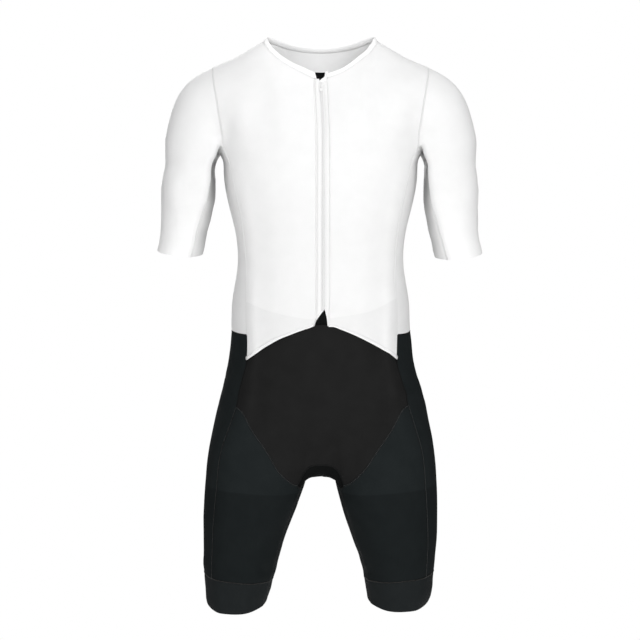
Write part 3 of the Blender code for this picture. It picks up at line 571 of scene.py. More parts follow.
# How much higher the lower edge of the gusset lies, by x, and the middle of what moves.
ARCH_RISE = (
    (30, 0), (22, 0.5), (18, 1.9), (12, 2.3), (6, 1), (0, 1), (-6.5, 2.5), (-14, 2.3), (-19, 1.7),
    (-24, 0.6), (-30, 0))
ARCH_HEIGHT = -697.0
# Places on the front where a seam lies further aside and up: x, height, how far aside, how far up.
Pull = namedtuple("Pull", "x z aside up")
PULLS = [Pull(*r) for r in (
    (116, -425, 3, 0), (118, -445, 4.5, 0), (120, -465, 4.8, 0), (121, -485, 3.8, 0),
    (122, -505, 3, 0), (125, -525, 2.8, 0), (128, -545, 3, 1), (131, -563, 3.5, 4),
    (134, -580, 4, 8.5), (139, -602, 2, 3), (-131, -580, -2.4, 3), (-129, -560, -1.2, 1),
    (-66, -682, -1.3, -1.6), (0, -680, 0, 4.2), (-28, -697, -3.5, 0), (30, -697, 4, 0))]
PULL_REACH = 22.0
# How much higher the leg bands' seam and hem lie on each leg, by height.
LEG_RISE_LEFT = ((-780, 0), (-835, 6.5), (-862, 6), (-905, 3))
LEG_RISE_RIGHT = ((-780, 0), (-835, 4.5), (-862, 4), (-905, -1))
Outline = namedtuple("Outline", "sleeve_out sleeve_in leg_out leg_in leg_rise")
OUTLINES = {1: Outline(SLEEVE_OUT_LEFT, SLEEVE_IN_LEFT, LEG_OUT_LEFT, LEG_IN_LEFT, LEG_RISE_LEFT),
            -1: Outline(SLEEVE_OUT_RIGHT, SLEEVE_IN_RIGHT, LEG_OUT_RIGHT, LEG_IN_RIGHT, LEG_RISE_RIGHT)}
# How much higher the neckline stands near the zip, by x.
NECK_LINE = (
    (75, 0), (60, 3), (40, 2.4), (14, 3.2), (0, 2.9), (-10, 2.7), (-20, 3.8), (-34, 4.9), (-48, 4.3),
    (-75, 0))
UP_THE_FRONT = (0, 0.5, 0.86)        # which way the skin runs there


def line_height(line, x):
    """Height of a line at x, level past its ends."""
    return curve(line, min(line[0][0], max(line[-1][0], x)))


def level_line(line, places):
    """Values of a line that is given by falling height or x, at heights or x."""
    return np.interp(-places, [-r[0] for r in line], [r[1] for r in line])


def slide_outline(points):
    """The points, with the sleeves' and legs' edges, the gusset and the leg bands at their own places.

    An outer edge's shift fades out across the sleeve or leg, where the inner edge's takes over.
    """
    out = points.copy()
    x, y, z = points[:, 0], points[:, 1], points[:, 2]
    sleeve = on_sleeve(x, z)
    outer_arm = smooth_step((np.abs(x) - 178) / 56)
    outer_leg = smooth_step((np.abs(x) - 66) / 90)
    inner_leg = (1 - outer_leg) * ramp(np.abs(x), 0, 18)
    arch = np.exp(-((z - ARCH_HEIGHT) / 16) ** 2) * (np.abs(y) < 70)
    out[:, 2] += arch * level_line(ARCH_RISE, x)
    beside = np.abs(x) - ARMPIT_X
    out[:, 0] += np.sign(x) * np.tanh(beside) * np.exp(-(beside / 22) ** 2) * level_line(ARMPIT_OPEN, z)
    for side, line in OUTLINES.items():
        leg_side = (x * side > 0) & (sleeve == 0)
        aside = outer_leg * level_line(line.leg_out, z) + inner_leg * level_line(line.leg_in, z)
        out[:, 0] += side * leg_side * aside
        arm_side = sleeve * (x * side > 0)
        aside = outer_arm * level_line(line.sleeve_out, z) + (1 - outer_arm) * level_line(line.sleeve_in, z)
        out[:, 0] += side * arm_side * aside
        out[:, 2] += np.where((x * side > 0) & (z < -780), level_line(line.leg_rise, z), 0.0)
    return out


def pull_seams(points, normals):
    """The points of the front, slid along the skin towards where the seams lie."""
    front = np.where((normals[:, 1] < -0.05) & (points[:, 1] < 0))[0]
    skin, n = points[front], normals[front]
    total, push = np.zeros(len(front)), np.zeros((len(front), 2))
    for pull in PULLS:
        near = np.exp(-((skin[:, 0] - pull.x) ** 2 + (skin[:, 2] - pull.z) ** 2) / PULL_REACH ** 2)
        total += near
        push += near[:, None] * (pull.aside, pull.up)
    push /= np.maximum(1.0, total)[:, None]
    out = points.copy()
    for axis, part in ((0, push[:, 0]), (2, push[:, 1])):
        along_skin = -n * n[:, axis:axis + 1]
        along_skin[:, axis] += 1
        out[front] += along_skin * (part / np.maximum(0.25, 1 - n[:, axis] ** 2))[:, None]
    return out


def slide_lines(points, coords):
    """The points, slid along the front's columns so that the free hem and neckline follow their lines."""
    out = points.copy()
    columns = {}
    for v, (col, row) in enumerate(coords):
        x, y, z = points[v]
        if abs(col) < FRONT_SEAM + 0.01 and abs(row - HEM_ROW) < 1.01 and y < 0 and z < -400:
            columns.setdefault(col, []).append((row, v))
        if abs(col) <= 3.6 and row < 2 and y < -10:
            rise = line_height(NECK_LINE, x) * (1 - smooth_step(row / 2))
            out[v] += np.array(UP_THE_FRONT) * rise
    for column in columns.values():
        column.sort()
        rows, skin = [r for r, _ in column], points[[v for _, v in column]]
        hem = min(range(len(rows)), key=lambda i: abs(rows[i] - HEM_ROW))
        drop = line_height(HEM_LINE, skin[hem][0]) - skin[hem][2]
        for row, v in column:
            z = points[v][2] + drop * (1 - smooth_step(abs(row - HEM_ROW)))
            out[v] = [np.interp(-z, -skin[:, 2], skin[:, i]) for i in range(3)]
    return out


# Soft creases of the front and the back. x1 z1 to x3 z3 is the line of one (x2 z2 bends it), depth is how
# deep its trough is, and a low ridge runs along its lower side. Negative depth is a ridge.
Fold = namedtuple("Fold", "x1 z1 x2 z2 x3 z3 width depth")
FOLDS = {
    "front": (
    (-152, -168, -143, -140, -128, -112, 9, 1.3),    # armpits to the shoulder
    (153, -167, 146, -145, 139, -121, 8, 0.9),
    (-146, -186, -120, -196, -84, -188, 11, 1.2),    # armpits across the chest
    (147, -188, 124, -201, 98, -199, 10, 0.9),
    (-138, -214, -122, -236, -112, -266, 9, 0.8),
    (139, -221, 127, -240, 120, -259, 8, 0.6),
    (-158, -158, -178, -150, -196, -158, 8, 1.1),    # sleeve heads
    (159, -157, 176, -147, 199, -152, 8, 0.9),
    (-168, -196, -186, -206, -208, -203, 9, 0.8),
    (170, -204, 189, -217, 204, -213, 8, 0.6),
    (-231, -212, -235, -250, -223, -292, 12, -1.8),    # outside of the sleeves
    (235, -226, 238, -252, 230, -284, 11, -1.4),
    (-186, -286, -204, -300, -226, -296, 9, 0.7),
    (188, -302, 204, -314, 219, -312, 8, 0.5),
    (-124, -322, -98, -334, -62, -331, 10, 0.8),    # waist
    (125, -330, 103, -344, 76, -344, 9, 0.6),
    (-126, -366, -104, -372, -70, -362, 9, 0.7),
    (124, -372, 98, -381, 66, -374, 10, 0.6),
    (-110, -462, -66, -432, -22, -416, 4.5, 0.45),    # drag lines above the free hem
    (-108, -444, -72, -424, -38, -411, 4, -0.35),
    (-111, -480, -78, -452, -40, -434, 5, 0.4),
    (109, -466, 70, -436, 30, -420, 4.5, 0.4),
    (110, -446, 84, -427, 52, -414, 4, -0.3),
    (-44, -652, -62, -632, -74, -604, 8, 0.9),    # crotch
    (42, -654, 57, -638, 66, -616, 8, 0.7),
    (-18, -656, -26, -636, -30, -612, 9, 0.6),
    (14, -655, 24, -634, 31, -615, 9, 0.5),
    (-142, -600, -120, -616, -92, -622, 11, 0.6),    # groin, down the thighs
    (146, -606, 122, -624, 101, -630, 10, 0.5),
    (-64, -704, -92, -716, -128, -708, 10, 0.9),
    (52, -706, 78, -722, 118, -716, 10, 0.8),
    (-78, -756, -104, -768, -130, -764, 9, 0.5),
    (66, -768, 88, -780, 112, -779, 9, 0.5),
    (-186, -846, -150, -857, -112, -855, 7, 0.7),    # above the leg bands
    (172, -848, 142, -858, 108, -857, 7, 0.6),
    (-98, -838, -84, -849, -79, -858, 6, 1.2),
    (83, -840, 74, -850, 70, -858, 6, 1.1),
    ), "back": (
    (-150, -176, -128, -154, -116, -122, 11, 1.4),    # armpits, behind
    (151, -174, 133, -150, 122, -126, 10, 1.2),
    (-146, -196, -112, -214, -70, -210, 12, 1.3),
    (147, -202, 118, -222, 84, -221, 11, 1.1),
    (-160, -168, -182, -162, -202, -172, 9, 1),
    (161, -170, 181, -160, 204, -166, 9, 0.9),
    (-234, -232, -238, -262, -228, -296, 12, 1.1),
    (239, -240, 241, -268, 230, -304, 12, 0.9),
    (-42, -92, -46, -130, -34, -176, 14, 0.8),    # between the shoulder blades
    (40, -98, 46, -136, 38, -170, 14, 0.7),
    (-118, -318, -70, -338, -14, -336, 11, 1.5),    # small of the back
    (120, -324, 82, -346, 30, -346, 10, 1.3),
    (-116, -352, -58, -368, 22, -364, 12, 1.6),
    (117, -378, 60, -392, -8, -386, 11, 1.2),
    (-112, -402, -74, -411, -32, -408, 9, 0.8),
    (-60, -700, -92, -716, -132, -706, 10, 1.2),    # under the seat
    (50, -704, 84, -722, 126, -714, 10, 1.1),
    (-38, -672, -56, -660, -72, -640, 9, 0.9),
    (37, -676, 52, -664, 64, -648, 9, 0.8),
    (-74, -758, -108, -772, -150, -766, 9, 0.9),    # behind the thighs
    (64, -772, 96, -786, 134, -782, 9, 0.8),
    (-176, -842, -142, -855, -104, -852, 7, 0.8),
    (166, -840, 128, -852, 96, -850, 7, 0.8))}


def press_folds(points, normals):
    """The points with each crease pressed in along the normals."""
    out = points.copy()
    towards = {"front": normals[:, 1] < 0.15, "back": normals[:, 1] > -0.15}
    for face, fold in ((face, Fold(*row)) for face, rows in FOLDS.items() for row in rows):
        skin = np.where(towards[face])[0]
        flat = points[skin][:, [0, 2]]
        line = []
        for t in np.linspace(0, 1, 41):
            a, b, c = (1 - t) ** 2, 2 * t * (1 - t), t * t
            at = np.array((a * fold.x1 + b * fold.x2 + c * fold.x3, a * fold.z1 + b * fold.z2 + c * fold.z3))
            line.append(points[skin[np.argmin(((flat - at) ** 2).sum(1))]] * (0, 1, 0) + (at[0], 0, at[1]))
        line = np.array(line)
        low, high = line.min(0) - 4 * fold.width, line.max(0) + 4 * fold.width
        skin = skin[((points[skin] > low) & (points[skin] < high)).all(1)]
        gap = points[skin][:, None, :] - line[None]
        gap[:, :, 1] *= 0.4
        reach = np.sqrt((gap ** 2).sum(2))
        nearest = reach.argmin(1)
        reach = reach.min(1)
        above = gap[np.arange(len(skin)), nearest, 2]
        end = np.sin(np.pi * np.clip(nearest / 40, 0.0, 1.0)) ** 0.8
        trough = np.exp(-(reach / fold.width) ** 2)
        ridge = 0.4 * np.exp(-((reach - 1.9 * fold.width) / fold.width) ** 2) * (above < 0)
        out[skin] -= normals[skin] * (fold.depth * (trough - ridge) * end)[:, None]
    return out


class Surface:
    """The whole garment's smooth skin at one level, creased, with vertex normals."""

    def __init__(self, level):
        cage = build_cage()
        target, faces = np.array(cage.points, float), np.array(cage.faces)
        points = np.linalg.solve(to_limit(np.eye(len(target)), faces), target)
        coords, corners = np.array(cage.coords, float), np.array(cage.corners, float)
        tags = np.array(cage.tags)
        for _ in range(level):
            points, coords, faces, corners, tags = subdivide(points, coords, faces, corners, tags)
        self.coords, self.faces, self.tags = coords.tolist(), faces, tags
        self.corners = [[tuple(c) for c in four] for four in corners.tolist()]
        self.points = slide_outline(slide_lines(pose(to_limit(points, faces)), self.coords))
        self.points = pull_seams(self.points, self.find_normals())
        self.points = press_folds(self.points, self.find_normals())
        self.normals = self.find_normals()
        edges, index, free = mesh_edges(faces)
        self.free = set(edges[free].ravel().tolist())
        self.free_edges = {tuple(e) for e in edges[free].tolist()}
        sides = [[] for _ in edges]
        for f, four in enumerate(index.tolist()):
            for e in four:
                sides[e].append(str(tags[f]).split("+")[0])
        self.seam_edges = [(tuple(e), pair) for e, pair in zip(edges.tolist(), sides)
                           if len(pair) == 2 and pair[0] != pair[1]]

    def find_normals(self):
        """Outward direction at each vertex."""
        p, f = self.points, self.faces
        face_normal = np.cross(p[f[:, 2]] - p[f[:, 0]], p[f[:, 3]] - p[f[:, 1]])
        normal = spread(len(p), f.ravel(), np.repeat(face_normal, 4, axis=0))
        return unit(normal)


# ---- pieces
def lift(row):
    """How far the white front stands off the main layer, by row number."""
    return HEM_LIFT * smooth_step((row - 7.6) / 1.4)


def front_lift(col, row):
    """The same over the whole front: little at the sewn side seam."""
    return lift(row) * (0.2 + 0.8 * smooth_step((FRONT_SEAM - abs(col)) / 1.3))


def add_object(name, data):
    """New object in the scene."""
    obj = bpy.data.objects.new(name, data)
    bpy.context.scene.collection.objects.link(obj)
    return obj


def make_piece(name, points, faces, look, flat=None, numbers=None, sharp=()):
    """Mesh object from millimetre points. flat is a UV per face corner, numbers are point attributes."""
    mesh = bpy.data.meshes.new(name)
    mesh.from_pydata((np.asarray(points, float) * MM).tolist(), [], [tuple(map(int, f)) for f in faces])
    mesh.polygons.foreach_set("use_smooth", [True] * len(mesh.polygons))
    if flat is not None:
        layer = mesh.uv_layers.new(name="cloth")
        layer.data.foreach_set("uv", np.asarray(flat, float).ravel())
    for key, values in (numbers or {}).items():
        mesh.attributes.new(key, "FLOAT", "POINT").data.foreach_set("value", np.asarray(values, float))
    if sharp:
        wanted = {edge_key(*edge) for edge in sharp}
        for edge in mesh.edges:
            edge.use_edge_sharp = edge_key(*edge.vertices) in wanted
    mesh.materials.append(look)
    return add_object(name, mesh)


def fit(piece, node=None, body="suit"):
    """Fixes a finished piece to its body and the node that it stands for."""
    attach(piece, body)
    if node:
        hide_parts(node)


def flat_pattern(surface, picked):
    """The panel's own flat coordinates in metres, by corner: x along the rows, y down the columns."""
    at = {key: v for f in picked for v, key in zip(surface.faces[f], surface.corners[f])}
    flat = {key: [0.0, 0.0] for key in at}
    for axis in (0, 1):
        lines, ranks = {}, {}
        for key in at:
            lines.setdefault(key[1 - axis], []).append(key)
            ranks.setdefault(key[axis], []).append(key)
        anchor = max(ranks, key=lambda k: (len(ranks[k]), -abs(k)))
        for line in lines.values():
            line.sort(key=lambda key: key[axis])
            run = [0.0]
            for a, b in zip(line, line[1:]):
                step = float(np.linalg.norm(surface.points[at[b]] - surface.points[at[a]]))
                run.append(run[-1] + step * MM)
            zero = run[min(range(len(line)), key=lambda i: abs(line[i][axis] - anchor))]
            for key, r in zip(line, run):
                flat[key][axis] = r - zero
    return flat


Cloth = namedtuple("Cloth", "obj width length area")


def directed_rim(faces):
    """The faces' directed edges that no neighbour among them shares."""
    rim = {}
    for f in faces:
        for a, b in zip(f, f[1:] + f[:1]):
            if (b, a) in rim:
                del rim[(b, a)]
            else:
                rim[(a, b)] = True
    return list(rim)


def panel(surface, tag, look, shift=None, nudge=None, line=None, shade=None):
    """Thin closed shell over the faces of this panel.

    shift gives its offset along the normal at (col, row), nudge a sideways one at (col, point). line is the
    line past which its colour changes: the attribute past is how far below it each point lies, in mm. shade
    gives that attribute itself, at (point, normal), and carries painted shade.
    """
    picked = [f for f, t in enumerate(surface.tags) if tag in str(t).split("+")]
    faces = [tuple(f) for f in surface.faces[picked].tolist()]
    rim = directed_rim(faces)
    inward = {}
    for a, b in rim:
        if edge_key(a, b) not in surface.free_edges:
            for v in (a, b):
                d = np.cross(surface.normals[v], surface.points[b] - surface.points[a])
                inward.setdefault(v, []).append(unit(d))
    coords = {v: at for f, four in zip(picked, faces) for v, at in zip(four, surface.corners[f])}
    verts = sorted(coords)
    outer, inner = [], []
    for v in verts:
        p, n = surface.points[v].copy(), surface.normals[v]
        if nudge:
            p[0] += nudge(coords[v][0], p)
        up = shift(*coords[v]) if shift else 0.0
        if v in inward:
            d = sum(inward[v])
            size = np.linalg.norm(d)
            if size > 0.3:               # not at a point where the seams run straight through
                p += d / size * SEAM_GAP / 2 / max(0.5, float(np.dot(d / size, inward[v][0])))
            if up < 1.0:
                up -= SEAM_SINK
        outer.append(p + n * up)
        inner.append(p + n * (up - CLOTH))

    count = len(verts)
    place = {v: i for i, v in enumerate(verts)}
    skin = [tuple(place[v] for v in f) for f in faces]
    walls, edge_lines = [], []
    for a, b in ((place[a], place[b]) for a, b in rim):
        walls.append((b, a, a + count, b + count))
        edge_lines += [(a, b), (a + count, b + count)]
    solid = skin + [tuple(i + count for i in reversed(f)) for f in skin] + walls
    flat = flat_pattern(surface, picked)
    quads = [[flat[at] for at in surface.corners[f]] for f in picked]
    quads += [quad[::-1] for quad in quads] + [quads[0][:1] * 4] * len(walls)
    past = [line_height(line, p[0]) - p[2] for p in outer] * 2 if line else []
    if shade:
        past = [shade(surface.points[v], surface.normals[v]) for v in verts] * 2
    numbers = {"past": past} if past else None
    obj = make_piece(tag + "_cloth", outer + inner, solid, look, quads, numbers, edge_lines)
    xs, ys = zip(*flat.values())
    p = surface.points[np.array(faces)] * MM
    area = float(np.linalg.norm(np.cross(p[:, 2] - p[:, 0], p[:, 3] - p[:, 1]), axis=1).sum() / 2)
    return Cloth(obj, max(xs) - min(xs), max(ys) - min(ys), area)


def ring_faces(rings, n, closed):
    """Quads between rings of n points each, and from the last ring to the first where it is closed."""
    faces = []
    for i in range(rings if closed else rings - 1):
        low, high = i * n, (i + 1) % rings * n
        faces += [(low + j, low + (j + 1) % n, high + (j + 1) % n, high + j) for j in range(n)]
    return faces


def strip(stations, closed=False):
    """Closed solid through a list of equal polygons (sections), capped unless it is a loop."""
    n, count = len(stations[0]), len(stations)
    points = [p for s in stations for p in s]
    faces = ring_faces(count, n, closed)
    if not closed:
        faces += [tuple(reversed(range(n))), tuple(range((count - 1) * n, count * n))]
    return points, outward(points, faces)


def outward(points, faces):
    """The faces, turned round if they enclose a negative volume."""
    volume = sum(np.dot(points[f[0]], np.cross(points[f[i]], points[f[i + 1]]))
                 for f in faces for i in range(1, len(f) - 1))
    return faces if volume > 0 else [tuple(reversed(f)) for f in faces]


def merge(shapes):
    """Several (points, faces) as one."""
    points, faces = [], []
    for p, f in shapes:
        faces += [tuple(i + len(points) for i in face) for face in f]
        points += list(p)
    return points, faces


# ---- seams
def seam_lines(surface, one, other):
    """Chains of vertices (vertices, closed) along the edges where two sets of panels meet."""
    near = {}
    for (a, b), (s, t) in surface.seam_edges:
        if (s in one and t in other) or (s in other and t in one):
            near.setdefault(a, []).append(b)
            near.setdefault(b, []).append(a)
    chains, seen = [], set()
    for start in sorted(near, key=lambda v: (len(near[v]) != 1, v)):
        if start in seen:
            continue
        chain = [start]
        seen.add(start)
        while True:
            ahead = [v for v in near[chain[-1]] if v not in seen]
            if not ahead:
                break
            chain.append(ahead[0])
            seen.add(ahead[0])
        chains.append((chain, len(chain) > 3 and chain[0] in near[chain[-1]] and len(near[chain[0]]) == 2))
    return [c for c in chains if len(c[0]) > 1]


def along(points, closed):
    """Unit tangents of a polyline."""
    p = np.asarray(points, float)
    if closed:
        d = np.roll(p, -1, axis=0) - np.roll(p, 1, axis=0)
    else:
        d = np.gradient(p, axis=0)
    return unit(d)


class Path:
    """A line on the cloth with the outward direction at each point."""

    def __init__(self, points, out, closed=False):
        self.points, self.out, self.closed = np.asarray(points, float), np.asarray(out, float), closed
        self.tangents = along(self.points, closed)
        self.side = unit(np.cross(self.tangents, self.out))

    def raised(self, up):
        """The same line further out from the skin."""
        return Path(self.points + self.out * up, self.out, self.closed)

    def ribbon(self, section):
        """Solid along the line. section is its cross section as (aside, up) pairs, or gives point i's."""
        at = section if callable(section) else lambda i: section
        return strip([[p + s * a + o * u for a, u in at(i)]
                      for i, (p, s, o) in enumerate(zip(self.points, self.side, self.out))], self.closed)


def seam_path(surface, chain, closed, up=0.0):
    """A seam's line on the skin, slightly smoothed."""
    points = surface.points[chain] + surface.normals[chain] * up
    if not closed and len(chain) > 4:
        points[1:-1] = (points[:-2] + 2 * points[1:-1] + points[2:]) / 4
    return Path(points, surface.normals[chain], closed)


# Seams: the panels on one side and on the other (* is left, then right), thread, how far the seam stands up.
Seam = namedtuple("Seam", "one other thread up", defaults=(0.0,))
SIDE_SEAMS = (
    ("sleeve_* undersleeve_*", "front_* back side_*", "white"),    # armhole
    ("front_*", "back", "white"),    # shoulder
    ("front_*", "side_*", "white", 0.15),
    ("side_*", "back", "white"),
    ("sleeve_*", "undersleeve_*", "white"),
    ("side_*", "hip_side_*", "black"),
    ("back", "seat_*", "black"),
    ("front_*", "hip_side_*", "black"),
    ("brief_front", "hip_side_*", "black"),
    ("brief_front", "thigh_front_*", "leg"),    # groin
    ("hip_side_*", "seat_*", "black"),
    ("hip_side_*", "thigh_front_*", "leg"),    # outer leg
    ("seat_*", "thigh_front_*", "black"),    # inner leg
    ("gusset", "thigh_front_* seat_*", "black"),
    ("leg_band_*", "thigh_front_* hip_side_* seat_*", "band"))
MIDDLE_SEAMS = (("seat_left", "seat_right", "black"), ("gusset", "brief_front", "black"))


def seam_list():
    """Every seam: the left side's, the right side's and the two in the middle."""
    seams = [(one.replace("*", hand), other.replace("*", hand), *rest)
             for _, hand in HANDS for one, other, *rest in SIDE_SEAMS]
    return [Seam(one.split(), other.split(), *rest) for one, other, *rest in (*seams, *MIDDLE_SEAMS)]


# Cross section of a flat seam, as (aside, up).
FLAT_SEAM = ((-1.25, -0.55), (-1.3, -0.1), (-0.8, 0.17), (0.0, 0.22), (0.8, 0.17), (1.3, -0.1), (1.25, -0.55))


# ---- node trees
MATH, NOISE, MIX, BUMP = "ShaderNodeMath", "ShaderNodeTexNoise", "ShaderNodeMix", "ShaderNodeBump"
TIMES, PLUS, TIMES_PLUS = {"operation": "MULTIPLY"}, {"operation": "ADD"}, {"operation": "MULTIPLY_ADD"}
SINE, ZIGZAG = {"operation": "SINE"}, {"operation": "PINGPONG"}


def add_node(tree, kind, settings=None, inputs=None):
    """One node. settings are its properties. inputs maps a socket to a value, an output or a node's first."""
    node = tree.nodes.new(kind)
    for key, value in (settings or {}).items():
        setattr(node, key, value)
    for key, value in (inputs or {}).items():
        if isinstance(value, bpy.types.Node):
            value = value.outputs[0]
        if isinstance(value, bpy.types.NodeSocket):
            tree.links.new(value, node.inputs[key])
        else:
            node.inputs[key].default_value = value
    return node


def stitch_tree():
    """Geometry Nodes: rows of arched threads along a line that carries an outward direction, in metres."""
    tree = bpy.data.node_groups.new("stitch_row", "GeometryNodeTree")
    face = tree.interface
    face.new_socket("Geometry", in_out="INPUT", socket_type="NodeSocketGeometry")
    for name, value in (("Pitch", 0.0022), ("Across", 0.0013), ("Along", 0.0007), ("Rise", 0.0003),
                        ("Thread radius", 0.00016), ("Unevenness", 0.06)):
        face.new_socket(name, in_out="INPUT", socket_type="NodeSocketFloat").default_value = value
    face.new_socket("Seed", in_out="INPUT", socket_type="NodeSocketInt").default_value = 7
    face.new_socket("Thread", in_out="INPUT", socket_type="NodeSocketMaterial")
    face.new_socket("Geometry", in_out="OUTPUT", socket_type="NodeSocketGeometry")
    given = add_node(tree, "NodeGroupInput").outputs
    line = add_node(tree, "GeometryNodeMeshToCurve", inputs={0: given["Geometry"]})
    line = add_node(tree, "GeometryNodeResampleCurve", {"mode": "LENGTH"},
                    {"Curve": line, "Length": given["Pitch"]})
    # one thread: an arch from behind on one side, over the seam, to ahead on the other
    back = add_node(tree, MATH, TIMES, {0: given["Across"], 1: -1.0})
    tail = add_node(tree, MATH, TIMES, {0: given["Along"], 1: -1.0})
    start = add_node(tree, "ShaderNodeCombineXYZ", inputs={"X": back, "Y": tail})
    top = add_node(tree, "ShaderNodeCombineXYZ", inputs={"Z": given["Rise"]})
    end = add_node(tree, "ShaderNodeCombineXYZ", inputs={"X": given["Across"], "Y": given["Along"]})
    arch = add_node(tree, "GeometryNodeCurveQuadraticBezier",
                    inputs={"Resolution": 4, "Start": start, "Middle": top, "End": end})
    ring = add_node(tree, "GeometryNodeCurvePrimitiveCircle",
                    inputs={"Resolution": 5, "Radius": given["Thread radius"]})
    thread = add_node(tree, "GeometryNodeCurveToMesh",
                      inputs={"Curve": arch, "Profile Curve": ring, "Fill Caps": True})
    # set along the line, standing outwards, each a little smaller than the largest
    out = add_node(tree, "GeometryNodeInputNamedAttribute", {"data_type": "FLOAT_VECTOR"}, {"Name": "out"})
    tangent = add_node(tree, "GeometryNodeInputTangent")
    turn = add_node(tree, "FunctionNodeAxesToRotation", {"primary_axis": "Z", "secondary_axis": "Y"},
                    {0: out, 1: tangent})
    least = add_node(tree, MATH, {"operation": "SUBTRACT"}, {0: 1.0, 1: given["Unevenness"]})
    size = add_node(tree, "FunctionNodeRandomValue", {"data_type": "FLOAT"},
                    {2: least, 3: 1.0, "Seed": given["Seed"]})
    rows = add_node(tree, "GeometryNodeInstanceOnPoints",
                    inputs={"Points": line, "Instance": thread, "Rotation": turn, "Scale": size.outputs[1]})
    real = add_node(tree, "GeometryNodeRealizeInstances", inputs={0: rows})
    smooth = add_node(tree, "GeometryNodeSetShadeSmooth", inputs={0: real, "Shade Smooth": True})
    dyed = add_node(tree, "GeometryNodeSetMaterial", inputs={0: smooth, "Material": given["Thread"]})
    add_node(tree, "NodeGroupOutput", inputs={0: dyed})
    return tree


def stitched(name, tree, paths, look, **sizes):
    """Plain mesh object with a row of threads along each path. Sizes are in millimetres."""
    points, out, edges = [], [], []
    for path in paths:
        base = len(points)
        points += list(path.points)
        out += list(path.out)
        edges += [(base + i, base + i + 1) for i in range(len(path.points) - 1)]
        if path.closed:
            edges.append((len(points) - 1, base))
    mesh = bpy.data.meshes.new(name + "_lines")
    mesh.from_pydata((np.array(points) * MM).tolist(), edges, [])
    outward_way = mesh.attributes.new("out", "FLOAT_VECTOR", "POINT")
    outward_way.data.foreach_set("vector", np.array(out, float).ravel())
    obj = add_object(name, mesh)
    rows = obj.modifiers.new("rows", "NODES")
    rows.node_group = tree
    sockets = {s.name: s.identifier for s in tree.interface.items_tree if s.in_out == "INPUT"}
    for key, value in sizes.items():
        unit = 1 if key in ("unevenness", "seed") else MM
        rows[sockets[key.replace("_", " ").capitalize()]] = value * unit
    rows[sockets["Thread"]] = look
    evaluated = obj.evaluated_get(bpy.context.evaluated_depsgraph_get())
    plain = bpy.data.meshes.new_from_object(evaluated)
    obj.modifiers.remove(rows)
    obj.data = plain
    plain.name = name
    return obj


# ---- materials
WHITE_LOOP, BLACK_LOOP = (1.2, 0.9), (1.1, 0.8)      # wale and course of the two knits as drawn, in mm


def linear(hex_colour):
    """sRGB hex to linear RGBA."""
    rgb = [int(hex_colour[i:i + 2], 16) / 255 for i in (1, 3, 5)]
    return (*[c / 12.92 if c <= 0.04045 else ((c + 0.055) / 1.055) ** 2.4 for c in rgb], 1.0)


def new_material(name, rough, specular, thin=0.0):
    """Principled material. thin is how much light passes through the cloth, which is let 3 mm into it."""
    look = bpy.data.materials.new(name)
    look.use_nodes = True
    shader = look.node_tree.nodes["Principled BSDF"]
    for key, value in (("Roughness", rough), ("Specular IOR Level", specular), ("Subsurface Weight", thin),
                       ("Subsurface Radius", (1.0, 1.0, 1.0)), ("Subsurface Scale", 0.003)):
        shader.inputs[key].default_value = value
    return look, look.node_tree


def dye(look, light, dark, share, shade=None):
    """Colours a material from dark (share 0) to light (share 1), times shade where that is given."""
    tree = look.node_tree
    colour = add_node(tree, MIX, {"data_type": "RGBA"}, {"Factor": share, 6: linear(dark), 7: linear(light)})
    colour = colour.outputs[2]
    if shade is not None:
        colour = add_node(tree, "ShaderNodeVectorMath", {"operation": "SCALE"}, {0: colour, "Scale": shade})
        colour = colour.outputs[0]
    tree.links.new(colour, tree.nodes["Principled BSDF"].inputs["Base Color"])


def emboss(look, height, strength, depth):
    """Gives a material a relief of that depth in millimetres."""
    tree = look.node_tree
    bump = add_node(tree, BUMP, inputs={"Height": height, "Strength": strength, "Distance": depth * MM})
    tree.links.new(bump.outputs[0], tree.nodes["Principled BSDF"].inputs["Normal"])


def on_the_flat(tree):
    """Coordinates on the flat cloth, in metres: X along the rows, Y down the columns."""
    cloth_map = add_node(tree, "ShaderNodeUVMap", {"uv_map": "cloth"})
    return add_node(tree, "ShaderNodeSeparateXYZ", inputs={0: cloth_map}).outputs


def knit_height(tree, wale, course):
    """Height of a jersey knit face: V-shaped loops in columns a wale wide and rows a course high, in mm."""
    flat = on_the_flat(tree)
    across = add_node(tree, MATH, TIMES, {0: flat["X"], 1: 1000 / wale})
    down = add_node(tree, MATH, TIMES, {0: flat["Y"], 1: 1000 / course})
    column = add_node(tree, MATH, ZIGZAG, {0: across, 1: 0.5})
    slant = add_node(tree, MATH, TIMES_PLUS, {0: column, 1: 1.4, 2: down})
    turn = add_node(tree, MATH, TIMES, {0: slant, 1: 2 * math.pi})
    loop = add_node(tree, MATH, SINE, {0: turn})
    rib = add_node(tree, MATH, TIMES, {0: column, 1: 2.2})
    return add_node(tree, MATH, TIMES_PLUS, {0: loop, 1: 0.35, 2: rib})


